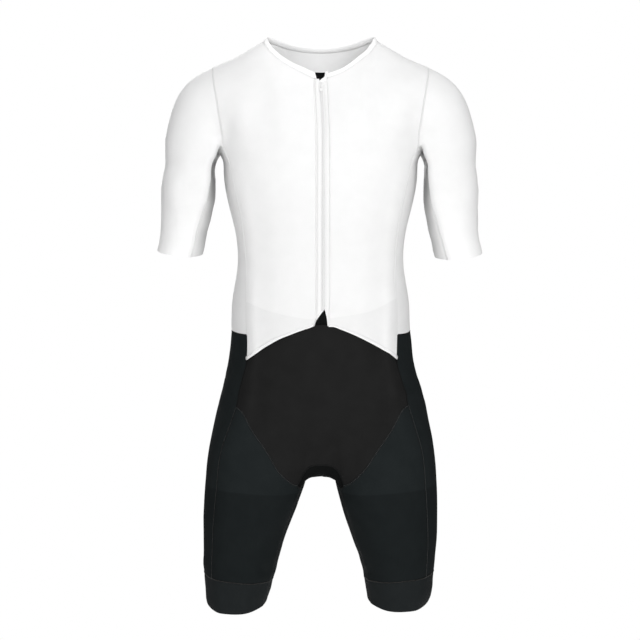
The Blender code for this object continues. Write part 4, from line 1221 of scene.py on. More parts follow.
def knit(name, light, dark, rough, specular, thin=0.0, loop=BLACK_LOOP, tone=None):
    """Fine stretch jersey, nylon with elastane. loop is its wale and course.

    The real stitches are 0.25 mm; they are drawn as coarse as a close view needs to show them. Patches of
    26 mm and yarns of 1 mm take the dye a little unevenly. tone is what the colour is multiplied by where
    the cloth's attribute past rises above 0: where the brief shows through the fronts, down the legs, and
    as painted shade under the arms.
    """
    look, tree = new_material(name, rough, specular, thin)
    space = add_node(tree, "ShaderNodeTexCoord").outputs["Object"]
    cloudy = add_node(tree, NOISE, inputs={"Vector": space, "Scale": 38.0, "Detail": 3.0})
    yarn = add_node(tree, NOISE, inputs={"Vector": space, "Scale": 900.0, "Detail": 2.0})
    mixed = add_node(tree, MATH, TIMES_PLUS, {0: yarn.outputs["Fac"], 1: 0.5, 2: cloudy.outputs["Fac"]})
    share = add_node(tree, "ShaderNodeMapRange", inputs={"Value": mixed, "From Min": 0.45, "From Max": 1.05})
    shade = None
    if tone:
        value = add_node(tree, "ShaderNodeAttribute", {"attribute_name": "past"}).outputs["Fac"]
        shade = add_node(tree, "ShaderNodeMapRange", inputs={
            "Value": value, "From Min": -0.8, "From Max": 0.8, "To Min": 1.0, "To Max": tone})
    dye(look, light, dark, share, shade)
    emboss(look, knit_height(tree, *loop), 0.35, 0.05)
    return look


def elastic(name, light, dark, rough, specular, thin=0.0):
    """Woven elastic band: fine upright ribs, one every 1.6 mm, crossed by a weft every 0.9 mm."""
    look, tree = new_material(name, rough, specular, thin)
    flat = on_the_flat(tree)
    ribs = add_node(tree, MATH, TIMES, {0: flat["X"], 1: 2 * math.pi / 0.0016})
    ribs = add_node(tree, MATH, SINE, {0: ribs})
    weft = add_node(tree, MATH, TIMES, {0: flat["Y"], 1: 2 * math.pi / 0.0009})
    weft = add_node(tree, MATH, SINE, {0: weft})
    height = add_node(tree, MATH, TIMES_PLUS, {0: weft, 1: 0.4, 2: ribs})
    space = add_node(tree, "ShaderNodeTexCoord").outputs["Object"]
    cloudy = add_node(tree, NOISE, inputs={"Vector": space, "Scale": 60.0, "Detail": 3.0})
    dye(look, light, dark, cloudy.outputs["Fac"])
    emboss(look, height, 0.4, 0.12)
    return look


def thread_like(name, light, dark, rough, specular, scale, depth, thin=0.0):
    """Yarn, bonded edge, drawn nylon or paint: two close tones and a fine grain, of that scale in mm."""
    look, tree = new_material(name, rough, specular, thin)
    space = add_node(tree, "ShaderNodeTexCoord").outputs["Object"]
    grain = add_node(tree, NOISE, inputs={"Vector": space, "Scale": 1000.0 / scale, "Detail": 3.0})
    dye(look, light, dark, grain.outputs["Fac"])
    emboss(look, grain.outputs["Fac"], 0.3, depth)
    return look


def woven_tape(name, light, dark, chain_share):
    """Herringbone zip tape, a chevron every 1.8 mm, darker by the coil, within 5 mm of the middle."""
    look, tree = new_material(name, 0.72, 0.25)
    across = add_node(tree, "ShaderNodeAttribute", {"attribute_name": "across"}).outputs["Fac"]
    down = add_node(tree, "ShaderNodeAttribute", {"attribute_name": "down"}).outputs["Fac"]
    chevron = add_node(tree, MATH, ZIGZAG, {0: across, 1: 0.9})
    slant = add_node(tree, MATH, PLUS, {0: chevron, 1: down})
    turn = add_node(tree, MATH, TIMES, {0: slant, 1: 2 * math.pi / 0.9})
    weave = add_node(tree, MATH, SINE, {0: turn})
    apart = add_node(tree, MATH, {"operation": "ABSOLUTE"}, {0: across})
    inside = add_node(tree, "ShaderNodeMapRange", inputs={
        "Value": apart, "From Min": 4.6, "From Max": 5.2, "To Min": chain_share, "To Max": 1.0})
    dye(look, light, dark, weave, inside)
    emboss(look, weave, 0.25, 0.1)
    return look


def make_looks():
    """Every material of the suit, by the word that the pieces below use, with what it gives the eye."""
    return {
        # Jersey, optical white: a matt face without highlights; light passes a little way into it, so that
        # its shade is soft.
        "white": knit("white_matt_jersey", "#f9f9f9", "#f5f5f5", 0.62, 0.2, 0.6, WHITE_LOOP),
        # The same on the fronts: the black brief behind it shows through as a faint grey below its top edge.
        "front": knit("white_matt_jersey_front", "#f9f9f9", "#f5f5f5", 0.62, 0.2, 0.6, WHITE_LOOP, tone=0.95),
        # Lined black jersey: an even near-black with hardly any sheen.
        "brief": knit("black_brief_jersey", "#1f1f1f", "#1b1b1b", 0.7, 0.03),
        # Unlined black jersey, stretched over the hips and thighs: a cool cast, deeper down the legs.
        "thigh": knit("black_leg_jersey", "#1e2223", "#1a1e1f", 0.68, 0.03, tone=0.78),
        # Woven gripper elastic: upright ribs that break up the light on a cool black.
        "band": elastic("black_elastic_band", "#1f2223", "#1a1d1e", 0.65, 0.04),
        # Underarm jersey: a pale grey that is painted shade, deepening to nearly black where the cloth faces
        # the body near the armpit, also painted shade.
        "underarm": knit("underarm_jersey_painted_shade", "#e4e4e4", "#dedede", 0.62, 0.2, 0.0, WHITE_LOOP, tone=0.12),
        # Black jersey of the zip's guard, the facing behind its end and the gusset: without sheen, and darker
        # than the brief as painted shade of the recesses behind the zip and between the legs.
        "guard": knit("black_guard_jersey_painted_shade", "#131414", "#0e0f0f", 0.75, 0.02),
        # Folded rib trim, white: fine ribs across, and light from inside the neck shines through it.
        "rib": elastic("white_rib_band", "#f4f4f4", "#f0f0f0", 0.6, 0.2, 0.7),
        # Heat-bonded edge tape: smoother than the jersey and a touch whiter, the whiteness a painted
        # highlight, so that each edge draws a thin line.
        "bonded": thread_like("white_bonded_edge_painted_highlight", "#fafafa", "#f6f6f6", 0.6, 0.2, 0.8, 0.04, 0.6),
        # Spun polyester sewing thread: a soft point of light on each stitch.
        "white thread": thread_like("white_polyester_thread", "#f6f6f6", "#eeeeee", 0.6, 0.2, 0.3, 0.03, 0.6),
        "black thread": thread_like("black_polyester_thread", "#161818", "#0e0f0f", 0.5, 0.1, 0.3, 0.03),
        "leg thread": thread_like("charcoal_polyester_thread", "#686c6d", "#4e5152", 0.5, 0.2, 0.3, 0.03),
        "band thread": thread_like("grey_band_thread", "#5a5a58", "#454543", 0.45, 0.3, 0.3, 0.03),
        # Textured nylon yarn that covers a flat seam: matt, blacker than the cloth beside it.
        "black yarn": thread_like("black_seam_yarn", "#131414", "#0c0d0d", 0.6, 0.1, 0.5, 0.04),
        # Woven polyester zip tape: a faint herringbone, a little greyer than the cloth.
        "tape": woven_tape("white_zip_tape", "#ececec", "#e0e0e0", 0.955),
        # Drawn nylon wire, wound into the coil: a soft gloss along each tooth.
        "nylon": thread_like("white_nylon_coil", "#ececec", "#dedede", 0.38, 0.45, 0.6, 0.02),
        # Die-cast zinc under white paint: smooth, with the clearest highlights of the suit.
        "paint": thread_like("white_painted_zinc", "#ededed", "#e2e2e2", 0.3, 0.5, 0.4, 0.01)}


# ---- zip
COLUMN_WIDTH = 27.0      # width of the front's first column beside the zip
ROW_HEIGHT = 25.0        # height of a row near the neckline
END_ROW = 10.97          # where the white front's trims stop, just short of its hem


class Middle:
    """The middle front as rows of points across the zip, by row number."""

    def __init__(self, surface):
        self.rows = {}
        for v, (col, row) in enumerate(surface.coords):
            if abs(col) < 2.01 and row < HEM_ROW + 0.01 and surface.points[v][1] < 0:
                self.rows.setdefault(row, []).append((col, v))
        self.surface = surface
        for line in self.rows.values():
            line.sort()
        self.order = sorted(self.rows)
        self.heights = [-float(self.at(r, 0, 0)[2]) for r in self.order]

    def rows_between(self, first, last):
        """The rows of points from first to last, with both of them."""
        return [first, *[r for r in self.order if first < r < last], last]

    def row_at(self, z):
        """The row number at a height on the zip's middle."""
        return float(np.interp(-z, self.heights, self.order))

    def cut(self, row, field):
        """x of the cut-away end's left or right edge at a row."""
        return cut_at(-float(np.interp(row, self.order, self.heights)), field)

    def at(self, row, x, off):
        """Point at distance x from the zip's middle, moved out by off."""
        col = x / ZIP_HALF if abs(x) <= ZIP_HALF else math.copysign(1 + (abs(x) - ZIP_HALF) / COLUMN_WIDTH, x)
        low = max([r for r in self.order if r <= row + 1e-6])
        high = min([r for r in self.order if r >= row - 1e-6])
        t = 0.0 if high == low else (row - low) / (high - low)

        def across(r):
            line = self.rows[r]
            s = self.surface
            i = max([j for j in range(len(line) - 1) if line[j][0] <= col] or [0])
            a, b = line[i], line[i + 1]
            k = (col - a[0]) / (b[0] - a[0])
            p = s.points[a[1]] * (1 - k) + s.points[b[1]] * k
            n = s.normals[a[1]] * (1 - k) + s.normals[b[1]] * k
            return p + unit(n) * (off + lift(r))
        return across(low) * (1 - t) + across(high) * t

    def path(self, rows, x, off=0.0):
        """Path down the middle front at x(row)."""
        points = [self.at(r, x(r), off) for r in rows]
        lifted = [self.at(r, x(r), off + 1.0) for r in rows]
        return Path(points, [b - a for a, b in zip(points, lifted)])


# Lower end of the zip: the strip is cut away in a curve. Height, x of the cut's edges from the zip's middle.
Cut = namedtuple("Cut", "z left right")
CUTS = [Cut(*r) for r in (
    (-424.7, 3.1, 3.4), (-426.4, 1.3, 4.2), (-428.6, -0.6, 4.9), (-430.8, -2.5, 5.5), (-433.0, -4.3, 6.1),
    (-435.4, -6.0, 6.8), (-437.8, -7.6, 7.5), (-440.0, -9.0, 8.0), (-442.2, -10.2, 8.3), (-445.7, -11.8, 8.7),
    (-450.1, -13.3, 9.1), (-456.0, -13.9, 9.2))]


def cut_at(z, field):
    """x of that edge of the cut at a height."""
    return float(np.interp(-z, [-c.z for c in CUTS], [getattr(c, field) for c in CUTS]))


# The woven tapes across, from -X to +X: x from the zip's middle, and height over the skin.
TAPE_RIGHT = ((SEAM_GAP / 2 - ZIP_HALF, -0.15), (-7.4, -0.1), (-5.4, -0.1), (-5.0, -0.3), (-4.6, -0.1),
              (-2.75, -0.05))
TAPE_LEFT = ((2.75, -0.05), (4.6, -0.1), (5.0, -0.5), (5.4, -0.1), (9.2, -0.1),
             (ZIP_HALF - SEAM_GAP / 2, -0.15))
TAPE_THICK = 0.6


def tape(middle, name, rows, edges, offsets, look):
    """Woven strip. edges gives the x of the points across it by row, offsets their heights."""
    stations, across, down, run = [], [], [], 0.0
    for r in rows:
        xs = list(edges(r))
        upper = [middle.at(r, x, o) for x, o in zip(xs, offsets)]
        lower = [middle.at(r, x, o - TAPE_THICK) for x, o in zip(xs, offsets)]
        if stations:
            run += float(np.linalg.norm(upper[0] - stations[-1][0]))
        stations.append(upper + lower[::-1])
        across += xs + xs[::-1]
        down += [run] * (2 * len(xs))
    return make_piece(name, *strip(stations), look, numbers={"across": across, "down": down})


# Middle of the pull's hinge, the way up along the slider, and the hinge's height over the coil.
PULL_HINGE = (0.78, -74.61, -81.56)
SLIDER_UP = (0.0, 0.50686, 0.86203)
HINGE_RISE = 2.3


def zip_frame():
    """Maps (x, up, out) to a place at the slider, which stands where its pull turns."""
    up = np.array(SLIDER_UP)
    out = np.array((0, -up[2], up[1]))
    origin = np.array(PULL_HINGE) - out * HINGE_RISE
    return lambda x, u, n: origin + np.array((x, 0, 0)) + up * u + out * n


def round_box(x, u, half_x, half_u, radius, turns=6):
    """Closed outline of a rectangle with round corners."""
    line = []
    for cx, cu, start in ((1, 1, 0), (-1, 1, 90), (-1, -1, 180), (1, -1, 270)):
        for i in range(turns + 1):
            a = math.radians(start + 90 * i / turns)
            line.append((x + cx * (half_x - radius) + radius * math.cos(a),
                         u + cu * (half_u - radius) + radius * math.sin(a)))
    return line


def plate(outline, low, high, hole=None, bevel=0.18):
    """Flat plate with rounded edges, with a hole if one of as many points is given."""
    n = len(outline)
    centre = np.mean(outline, axis=0)

    def inset(line, by):
        c = np.mean(line, axis=0)
        return [tuple(np.array(p) + (c - p) / np.linalg.norm(c - p) * by) for p in line]
    rings = [(inset(outline, bevel), low), (outline, low + bevel),
             (outline, high - bevel), (inset(outline, bevel), high)]
    if hole:
        rings += [(inset(hole, -bevel), high), (hole, high - bevel),
                  (hole, low + bevel), (inset(hole, -bevel), low)]
    points = [(p[0], p[1], z) for ring, z in rings for p in ring]
    faces = ring_faces(len(rings), n, closed=bool(hole))
    if not hole:
        points += [(*centre, low), (*centre, high)]
        for j in range(n):
            faces.append((j, len(points) - 2, (j + 1) % n))
            faces.append((3 * n + j, 3 * n + (j + 1) % n, len(points) - 1))
    return points, faces


def in_frame(place, shape):
    """A shape set in its place, with its faces outwards."""
    points = [place(*p) for p in shape[0]]
    return points, outward(points, shape[1])


def slider(place):
    """Moulded slider: body, two rails and an arched bridge."""
    body_line = [(x * (1.0 if u > -1 else 0.86), u) for x, u in round_box(0, 0, 3.4, 4.4, 1.4)]
    plates = [plate(body_line, 0.3, 1.5)]
    plates += [plate(round_box(s * 2.75, 0.1, 0.35, 3.0, 0.3), 1.3, 1.95, bevel=0.12) for s in (-1, 1)]
    bridge = []
    for i in range(15):
        a = math.pi * (i + 0.5) / 15
        c, s = math.cos(a), math.sin(a)
        u, n = 2.6 * c, 1.3 + 2.25 * s ** 0.55
        corners = ((-0.85, -0.3), (0.85, -0.3), (0.85, 0.3), (-0.85, 0.3))
        bridge.append([(x, u + c * o, n + s * o) for x, o in corners])
    return merge([in_frame(place, s) for s in [*plates, strip(bridge)]])


def pull(place):
    """Pull tab: a ring over the bridge with a long tongue and three grip ribs."""
    outline, hole = [], []
    for i in range(40):
        a = 2 * math.pi * i / 40
        c, s = math.cos(a), math.sin(a)
        tall = math.copysign(abs(s) ** 0.7, s)
        outline.append((2.5 * math.copysign(abs(c) ** 0.55, c), -4.52 + 4.97 * tall))
        hole.append((1.5 * math.copysign(abs(c) ** 0.6, c), -2.0 + 1.55 * tall))
    tab = plate(outline, 1.85, 2.75, hole)
    ribs = [plate(round_box(0, u, 1.5, 0.28, 0.26, 3), 2.65, 2.95, bevel=0.1) for u in (-5.4, -6.5, -7.6)]
    return merge([in_frame(place, s) for s in [tab, *ribs]])


# ---- neck and hems
def neck_path(surface):
    """Neckline from the zip's +X side round the back to its -X side: vertices, and the way up at each."""
    beside, inward = {}, {}
    for a, b in surface.free_edges:
        beside.setdefault(a, []).append(b)
        beside.setdefault(b, []).append(a)
    for f in surface.faces.tolist():
        for a, b in zip(f, f[1:] + f[:1]):
            if edge_key(a, b) in surface.free_edges:
                d = unit(np.cross(surface.normals[a], surface.points[b] - surface.points[a]))
                for v in (a, b):
                    inward[v] = inward.get(v, 0) + d
    corner = {side: v for v in surface.free for side in (1, -1) if tuple(surface.coords[v]) == (side, 0)}
    chain = [corner[1], max(beside[corner[1]], key=lambda v: surface.points[v][0])]
    while chain[-1] != corner[-1]:
        chain.append(next(v for v in beside[chain[-1]] if v != chain[-2]))
    return chain, np.array([unit(np.array((0, 0, 0.35)) - unit(inward[v])) for v in chain])


# Cross section of the neckband: share of its height, and how far outwards.
BAND_SECTION = (
    (0.0, 0.62), (0.05, 0.82), (0.2, 1.0), (0.45, 1.1), (0.7, 1.05), (0.87, 0.84), (0.97, 0.45), (1.0, 0.0),
    (0.97, -0.45), (0.87, -0.84), (0.7, -1.05), (0.45, -1.1), (0.2, -1.0), (0.05, -0.82), (0.0, -0.62))


# Height of the neckband at distances along it from the zip, on the wearer's left and right, and the share
# that it is lower over the shoulders' ends, within that distance.
BAND_LEFT = ((0, 7.4), (12, 7.2), (40, 6.8), (70, 7.6), (100, 8.0))
BAND_RIGHT = ((0, 10.8), (10, 10.0), (24, 9.6), (46, 8.2), (80, 8.0))
BAND_DIP, BAND_DIP_REACH = 0.18, 11


def run_along(points):
    """Distance along a line at each of its points."""
    return np.concatenate([[0], np.cumsum(np.linalg.norm(np.diff(points, axis=0), axis=1))])


def neckband(surface, chain, ups):
    """Folded rib band round the neckline; its right end slants over the zip's guard."""
    stations = []
    last = len(chain) - 1
    line = surface.points[chain]
    run = run_along(line)
    half = len(chain) // 2
    crests = (run[int(np.argmax(line[:half, 2]))], run[half + int(np.argmax(line[half:, 2]))])
    for i, (v, up) in enumerate(zip(chain, ups)):
        n = surface.normals[v]
        side = unit(n - up * np.dot(n, up))
        ahead = unit(line[min(i + 1, last)] - line[max(i - 1, 0)])
        if i < len(chain) / 2:
            tall = np.interp(run[i], *zip(*BAND_LEFT))
        else:
            tall = np.interp(run[-1] - run[i], *zip(*BAND_RIGHT))
        tall *= 1 - BAND_DIP * sum(math.exp(-((run[i] - crest) / BAND_DIP_REACH) ** 2) for crest in crests)
        low = line[i] + up * 0.1 - side * CLOTH / 2
        lean = [4.2 - 6.1 * h if i == last else 0.0 for h, _ in BAND_SECTION]
        stations.append([low + up * tall * h + side * w + ahead * r for (h, w), r in zip(BAND_SECTION, lean)])
    return strip(stations)


def zip_nudge(col, p):
    """The right front's edge follows the zip's cut-away end where that is wider than the zip."""
    if p[2] > -440:
        return 0.0
    return -max(0.0, -ZIP_HALF - cut_at(p[2], "left")) * (1 - smooth_step((abs(col) - 1) * 2))


def hem_line(surface, side):
    """Lower hem of one white front from the zip to the side seam: its columns and its path."""
    line = {}
    for four, corners, tag in zip(surface.faces.tolist(), surface.corners, surface.tags):
        if not str(tag).startswith(("front_left", "front_right")):
            continue
        for v, (u, w) in zip(four, corners):
            if w == HEM_ROW and u * side > 0:
                line[abs(u)] = v
    cols = sorted(line)
    chain = [line[u] for u in cols]
    out = surface.normals[chain]
    points = surface.points[chain] + out * np.array([[front_lift(c, HEM_ROW)] for c in cols])
    if side < 0:
        points[:, 0] += [zip_nudge(c, p) for c, p in zip(cols, points)]
    return cols, Path(points, out)


# ---- the suit
# The left tape's end, turned over beside the neckband: distance up from the neckline, x of its two edges.
TOP_FOLD = (
    (12.2, 8.3, 13.0), (8.3, 8.3, 13.0), (4.5, 7.8, 12.8), (2.2, 7.0, 12.6), (-0.4, 3.6, 12.0),
    (-3.2, -1.2, 10.4), (-5.2, -3.1, 9.9), (-7.0, -3.4, 9.9))


def brief_shift(_, row):
    """The brief sinks a little under the white front, so that the two never touch."""
    return -0.9 * (1 - smooth_step((row - HEM_ROW) / 0.5))


# Painted shade on the underarm cloth where it faces the body, by height: 1 is darkest.
UNDERARM_PAINTED_SHADE = ((-170, 1.0), (-190, 1.0), (-209, 0.9), (-240, 0.8), (-285, 0.65), (-345, 0.4))


def underarm_painted_shade(p, n):
    """Where the underarm cloth stands between no painted shade (-0.8) and full painted shade (0.8), which
    falls where it faces the body.
    """
    # Painted shade: cloth turned towards the body is darkened, most near the armpit.
    facing = smooth_step((-n[0] * np.sign(p[0]) - 0.76) / 0.3)
    return -0.8 + 1.6 * facing * float(level_line(UNDERARM_PAINTED_SHADE, p[2]))


def dress_panels(surface, looks):
    """Every panel's cloth. Returns the sheets, each with what it rests on."""
    sheets = []

    def add(tag, look, slot, rests_on, **more):
        cloth = panel(surface, tag, looks[look], **more)
        fit(cloth.obj, tag)
        sheets.append((cloth, rests_on))

    for tag, nudge in (("front_left", None), ("front_right", zip_nudge)):
        add(tag, "front", "white_knit", ["brief_front_cloth"], shift=front_lift, nudge=nudge, line=SHOW_LINE)
    add("back", "white", "white_knit", ["neckband_rib"])
    for _, hand in HANDS:
        add("side_" + hand, "white", "white_knit", ["back_cloth"])
        add("sleeve_" + hand, "white", "white_knit", ["back_cloth"])
        sleeve = ["sleeve_" + hand + "_cloth"]
        # The underarm cloth gets painted shade where it faces the body.
        add("undersleeve_" + hand, "underarm", "white_knit", sleeve, shade=underarm_painted_shade)
        side, hip_side = "side_" + hand, "hip_side_" + hand
        for tag, rest in ((hip_side, side), ("seat_" + hand, "back"), ("thigh_front_" + hand, hip_side)):
            add(tag, "thigh", "black_knit", [rest + "_cloth"], line=LEG_LINE)
        add("leg_band_" + hand, "band", "black_knit", ["seat_" + hand + "_cloth"])
    add("brief_front", "brief", "black_knit", ["hip_side_left_cloth"], shift=brief_shift)
    # The gusset is in the guard's black, darker than the brief: painted shade between the legs.
    add("gusset", "guard", "black_knit", ["brief_front_cloth"])
    return sheets


def dress_neck(surface, chain, ups, looks):
    """The neckband, with its ribs upright on it."""
    points, faces = neckband(surface, chain, ups)
    n = len(BAND_SECTION)
    run = run_along(surface.points[chain]) * MM
    flat = [(run[i // n], (i % n) * 0.0012) for f in faces for i in f]
    fit(make_piece("neckband_rib", points, faces, looks["rib"], flat), "neckband")


def sew_seams(surface, chain, ups, looks, tree):
    """Each seam: a raised flat-lock ribbon outside, a flatter one inside, and threads across it."""
    yarns = {"white": ("white thread", "white thread"), "black": ("black yarn", "black thread"),
             "leg": ("black yarn", "leg thread"), "band": ("black yarn", "band thread")}
    ribbons, lines = {thread: [] for thread in yarns}, {thread: [] for thread in yarns}
    inside = [(a * 0.9, -u) for a, u in FLAT_SEAM]
    for seam in seam_list():
        crest = 0.55 if seam.thread == "white" else 1.0
        outside = [(a, u * crest if u > 0 else u) for a, u in FLAT_SEAM]
        for verts, closed in seam_lines(surface, seam.one, seam.other):
            path = seam_path(surface, verts, closed, seam.up)
            behind = path.raised(-CLOTH - 0.15 - seam.up)
            ribbons[seam.thread] += [path.ribbon(outside), behind.ribbon(inside)]
            lines[seam.thread].append(path.raised(0.2))
    neck = Path(surface.points[chain] - ups * 0.6, surface.normals[chain])
    ribbons["white"].append(neck.ribbon([(a * 0.7, u) for a, u in FLAT_SEAM]))
    ribbons["white"].append(neck.raised(-CLOTH - 0.35).ribbon(inside))
    for thread, (yarn, sewn) in yarns.items():
        fit(make_piece("seams_" + thread, *merge(ribbons[thread]), looks[yarn]))
        fit(stitched("stitches_" + thread, tree, lines[thread], looks[sewn], pitch=2.2, across=0.8, along=0.5,
                     rise=0.22, thread_radius=0.15, unevenness=0.06, seed=7))
    below = Path(surface.points[chain] - ups * 2.4, surface.normals[chain]).raised(0.12)
    fit(stitched("stitches_neck", tree, [below], looks["white thread"], pitch=2.6, across=0.0, along=0.9,
                 rise=0.25, thread_radius=0.17, unevenness=0.05, seed=11))


def bonded_edges(surface, middle, looks):
    """Bonded edges: the fronts' free hem, both sides of the zip, and round its cut-away end."""
    shapes = []
    for side, _ in HANDS:
        cols, path = hem_line(surface, side)
        down = -1.0 if np.mean(path.side[:, 2]) > 0 else 1.0

        def hem_section(i):
            wide = 2.5 + 2.7 * smooth_step((cols[i] - 1) / 3.5)
            return [(down * a, u) for a, u in ((0.25, -0.75), (0.25, 0.1), (-0.1, 0.42), (-wide * 0.5, 0.45),
                                               (-wide, 0.3), (-wide - 0.2, -0.1))]
        shapes.append(path.ribbon(hem_section))
    for side, high, wide in ((-1, 0.5, 2.2), (1, 0.3, 1.7)):
        section = ((0.0, -0.6), (-0.45, 0.02), (0.3, high), (wide * 0.6, high), (wide, 0.1), (wide, -0.3))
        stations = []
        for r in middle.rows_between(0.03, END_ROW):
            x = side * (ZIP_HALF + 0.1)
            if side < 0 and r >= 10.3:
                x = min(x, middle.cut(r, "left") + 0.15)
            stations.append([middle.at(r, x + side * a, u) for a, u in section])
        shapes.append(strip(stations))
    rows = np.linspace(middle.row_at(CUTS[0].z), END_ROW, 27)
    for field, side, wide in (("left", -1, 2.6), ("right", 1, 1.9)):
        path = middle.path(rows, lambda r: middle.cut(r, field), 0.1)
        turn = side if np.mean(path.side[:, 0]) > 0 else -side

        def cut_section(i):
            taper = turn * (0.35 + 0.65 * smooth_step(i / 4))
            return [(a * taper, u) for a, u in ((-0.1, -0.7), (-0.15, 0.05), (0.15, 0.4), (wide * 0.7, 0.42),
                                                (wide, 0.12), (wide, -0.3))]
        shapes.append(path.ribbon(cut_section))
    # The bonded tape is a touch whiter than the jersey: a painted highlight along the edges.
    fit(make_piece("bonded_edges", *merge(shapes), looks["bonded"]))


def zip_tapes(middle, looks):
    """The two woven tapes, narrowed by the cut-away end, and the cord in the coil."""
    end, tip = middle.row_at(CUTS[0].z), middle.row_at(-445.5)
    upper = [0.02, *middle.rows_between(0.07, end)]
    right_xs, right_offsets = zip(*TAPE_RIGHT)
    left_xs, left_offsets = zip(*TAPE_LEFT)

    def right_edges(r):
        """Cut slanting at the very top, and along the cut's left edge at the end."""
        if r > end:
            inner = middle.cut(r, "left")
        else:
            inner = math.inf if r > 0.17 else -4.6 + 15 * (r - 0.02)
        return [min(x, inner - 0.05 * i) for i, x in zip((5, 4, 3, 2, 1, 0), right_xs)]

    def left_edges(r):
        inner = middle.cut(r, "right") if r > end else 0
        return [max(x, inner + 0.3 * i) for i, x in enumerate(left_xs)]

    def cord_edges(r):
        return [min(x, middle.cut(r, "left")) if r > end else x for x in (-2.7, 0.0, 2.7)]

    right_rows = upper[:-1] + middle.rows_between(end, tip)
    left_rows = upper[:-1] + middle.rows_between(end, END_ROW)
    fit(tape(middle, "zip_tape_right_woven", right_rows, right_edges, right_offsets, looks["tape"]),
        "zip_tape_right")
    fit(tape(middle, "zip_tape_left_woven", left_rows, left_edges, left_offsets, looks["tape"]),
        "zip_tape_left")
    cord_rows = middle.rows_between(0.18, end) + list(np.linspace(end + 0.03, middle.row_at(-432.6), 6))
    fit(tape(middle, "zip_coil_cord", cord_rows, cord_edges, (-0.4, -0.3, -0.4), looks["nylon"]))


def zip_top(middle, up_front, looks):
    """The left tape's end, turned over beside the neckband."""
    def above(x, up, off):
        return middle.at(0.0, x, off) + up_front * up
    stations = []
    for up, x, wide in TOP_FOLD:
        crown, shoulder = (0.75, 0.9) if up > 0 else (0.3, 0.2)
        stations.append([above(x, up, -0.9), above(x - 0.1, up, -0.1), above(x + 0.5, up, 0.5),
                         above((x + wide) / 2, up, crown), above(wide, up, shoulder), above(wide, up, -0.9)])
    fit(make_piece("zip_top_fold", *strip(stations), looks["bonded"]))


def zip_teeth(middle, looks, tree):
    """The coil's two rows of teeth, which interlock half a pitch apart."""
    pitch = 1.6
    coil = []
    for side, first, last in ((-1, 0.3, middle.row_at(-429.0)),
                              (1, 0.3 + pitch / 2 / ROW_HEIGHT, middle.row_at(-426.6))):
        coil.append(middle.path(middle.rows_between(first, last), lambda r: side * 1.15))
    teeth = stitched("zip_coil_teeth", tree, coil, looks["nylon"], pitch=pitch, across=1.4, along=0.25,
                     rise=0.6, thread_radius=0.4, unevenness=0.02, seed=3)
    fit(teeth, "zip_coil")


def zip_backing(middle, up_front, looks):
    """The black flap behind the zip, which stands above the neckline, and the facing behind the zip's end,
    both in the guard's black, darker than the brief as painted shade.
    """
    stations = []
    for r in (-1, *middle.rows_between(0.0, 9.0)):
        rise = up_front * 11.5 if r < 0 else 0
        half = GUARD_HALF if r > 0.4 else ZIP_HALF + 2.0
        across = [-half, -half * 0.6, 0, half * 0.6, half]
        stations.append([middle.at(max(0.0, r), x, off) + rise
                         for off, xs in ((-1.4, across), (-2.1, across[::-1])) for x in xs])
    points, faces = strip(stations)
    flat = [((i % 10) * 0.005, (i // 10) * 0.004) for f in faces for i in f]
    fit(make_piece("zip_guard_cloth", points, faces, looks["guard"], flat), "zip_guard")
    # The facing behind the zip's cut-away end is in the guard's darker black: painted shade in the recess
    # there.
    facing = tape(middle, "zip_end_facing", list(np.linspace(middle.row_at(-420), 10.93, 9)),
                  lambda r: (-14.5, -7.0, 0.0, 5.0, 10.5), (-1.3,) * 5, looks["guard"])
    fit(facing)


def build_suit():
    """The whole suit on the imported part's bodies."""
    surface = Surface(LEVEL)
    middle = Middle(surface)
    looks = make_looks()
    sheets = dress_panels(surface, looks)
    chain, ups = neck_path(surface)
    dress_neck(surface, chain, ups, looks)
    tree = stitch_tree()
    sew_seams(surface, chain, ups, looks, tree)
    bonded_edges(surface, middle, looks)
    up_front = unit(middle.at(0.0, 0, 0) - middle.at(0.4, 0, 0))
    zip_tapes(middle, looks)
    zip_top(middle, up_front, looks)
    zip_teeth(middle, looks, tree)
    zip_backing(middle, up_front, looks)
    place = zip_frame()
    fit(make_piece("zip_slider_body", *slider(place), looks["paint"]), "zip_slider")
    fit(make_piece("zip_pull_tab", *pull(place), looks["paint"]), "zip_pull", "pull")
    for cloth, rests in sheets:
        area = min(cloth.area, cloth.width * cloth.length)


# ---- floor, light, camera
def build_floor():
    """A round floor in matt paint: pale, with faint cloudy patches and no reflections."""
    angles = [2 * math.pi * i / 96 for i in range(96)]
    ring = [(2.0 * math.cos(a), 2.0 * math.sin(a), -1.52) for a in angles]
    mesh = bpy.data.meshes.new("studio_floor")
    mesh.from_pydata(ring, [], [tuple(range(len(ring)))])
    look, tree = new_material("matt_studio_paint", 0.85, 0.2)
    space = add_node(tree, "ShaderNodeTexCoord").outputs["Object"]
    patches = add_node(tree, NOISE, inputs={"Vector": space, "Scale": 3.0, "Detail": 4.0})
    dye(look, "#f6f6f5", "#f0f0ef", patches.outputs["Fac"])
    mesh.materials.append(look)
    add_object("studio_floor", mesh)


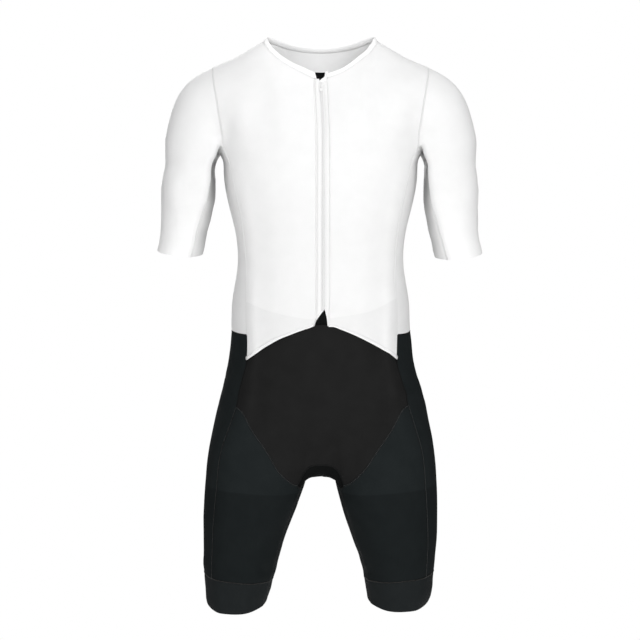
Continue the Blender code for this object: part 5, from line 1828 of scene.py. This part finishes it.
def build_world():
    """White all round: full for the camera, half for the light on cloth, and faint in what shines."""
    world = bpy.data.worlds.new("white_studio")
    bpy.context.scene.world = world
    world.use_nodes = True
    tree = world.node_tree
    tree.nodes.clear()
    ray = add_node(tree, "ShaderNodeLightPath").outputs
    seen, soft, gloss = (add_node(tree, "ShaderNodeBackground", inputs={"Color": (1, 1, 1, 1), "Strength": s})
                         for s in (1.0, 0.5, 0.12))
    dim = add_node(tree, "ShaderNodeMixShader", inputs={0: ray["Is Glossy Ray"], 1: soft, 2: gloss})
    mix = add_node(tree, "ShaderNodeMixShader", inputs={0: ray["Is Camera Ray"], 1: dim, 2: seen})
    add_node(tree, "ShaderNodeOutputWorld", inputs={"Surface": mix})


# Three soft boxes, and a small lamp over the front collar that fills the inside of the neck: name, kind,
# place, what it points at, and its settings.
LAMPS = (
    ("key_softbox", "AREA", (0.3, -2.9, 0.2), (0.0, 0, -0.25),
     {"shape": "RECTANGLE", "size": 1.3, "size_y": 1.3, "energy": 59}),
    ("top_softbox", "AREA", (0.2, -0.3, 2.0), (0, 0, -0.2),
     {"shape": "RECTANGLE", "size": 1.4, "size_y": 1.4, "energy": 9.5}),
    ("back_softbox", "AREA", (-0.4, 2.8, 0.6), (0, 0, -0.2),
     {"shape": "RECTANGLE", "size": 1.8, "size_y": 1.8, "energy": 68}),
    ("neck_fill", "SPOT", (-0.35, -1.6, 0.52), (0.005, 0.06, -0.025),
     {"energy": 24.0, "spot_size": math.radians(7.0), "spot_blend": 0.9, "shadow_soft_size": 0.06}))
CAMERA_DOWN = 4.41                   # degrees below level


def build_studio():
    """Floor, light and camera."""
    build_floor()
    build_world()
    for name, kind, place, aim, settings in LAMPS:
        light = bpy.data.lights.new(name, kind)
        for key, value in settings.items():
            setattr(light, key, value)
        lamp = add_object(name, light)
        lamp.location = place
        lamp.rotation_euler = (Vector(aim) - Vector(place)).to_track_quat("-Z", "Y").to_euler()
    camera = bpy.data.cameras.new("camera")
    camera.lens, camera.sensor_width, camera.shift_x = 98.4, 36.0, -0.0008
    eye = add_object("camera", camera)
    eye.location = (0, -2.8, -0.234)
    eye.rotation_euler = (math.radians(90 - CAMERA_DOWN), 0, 0)
    bpy.context.scene.camera = eye
    bpy.context.scene.view_settings.view_transform = "Standard"


build_suit()
build_studio()
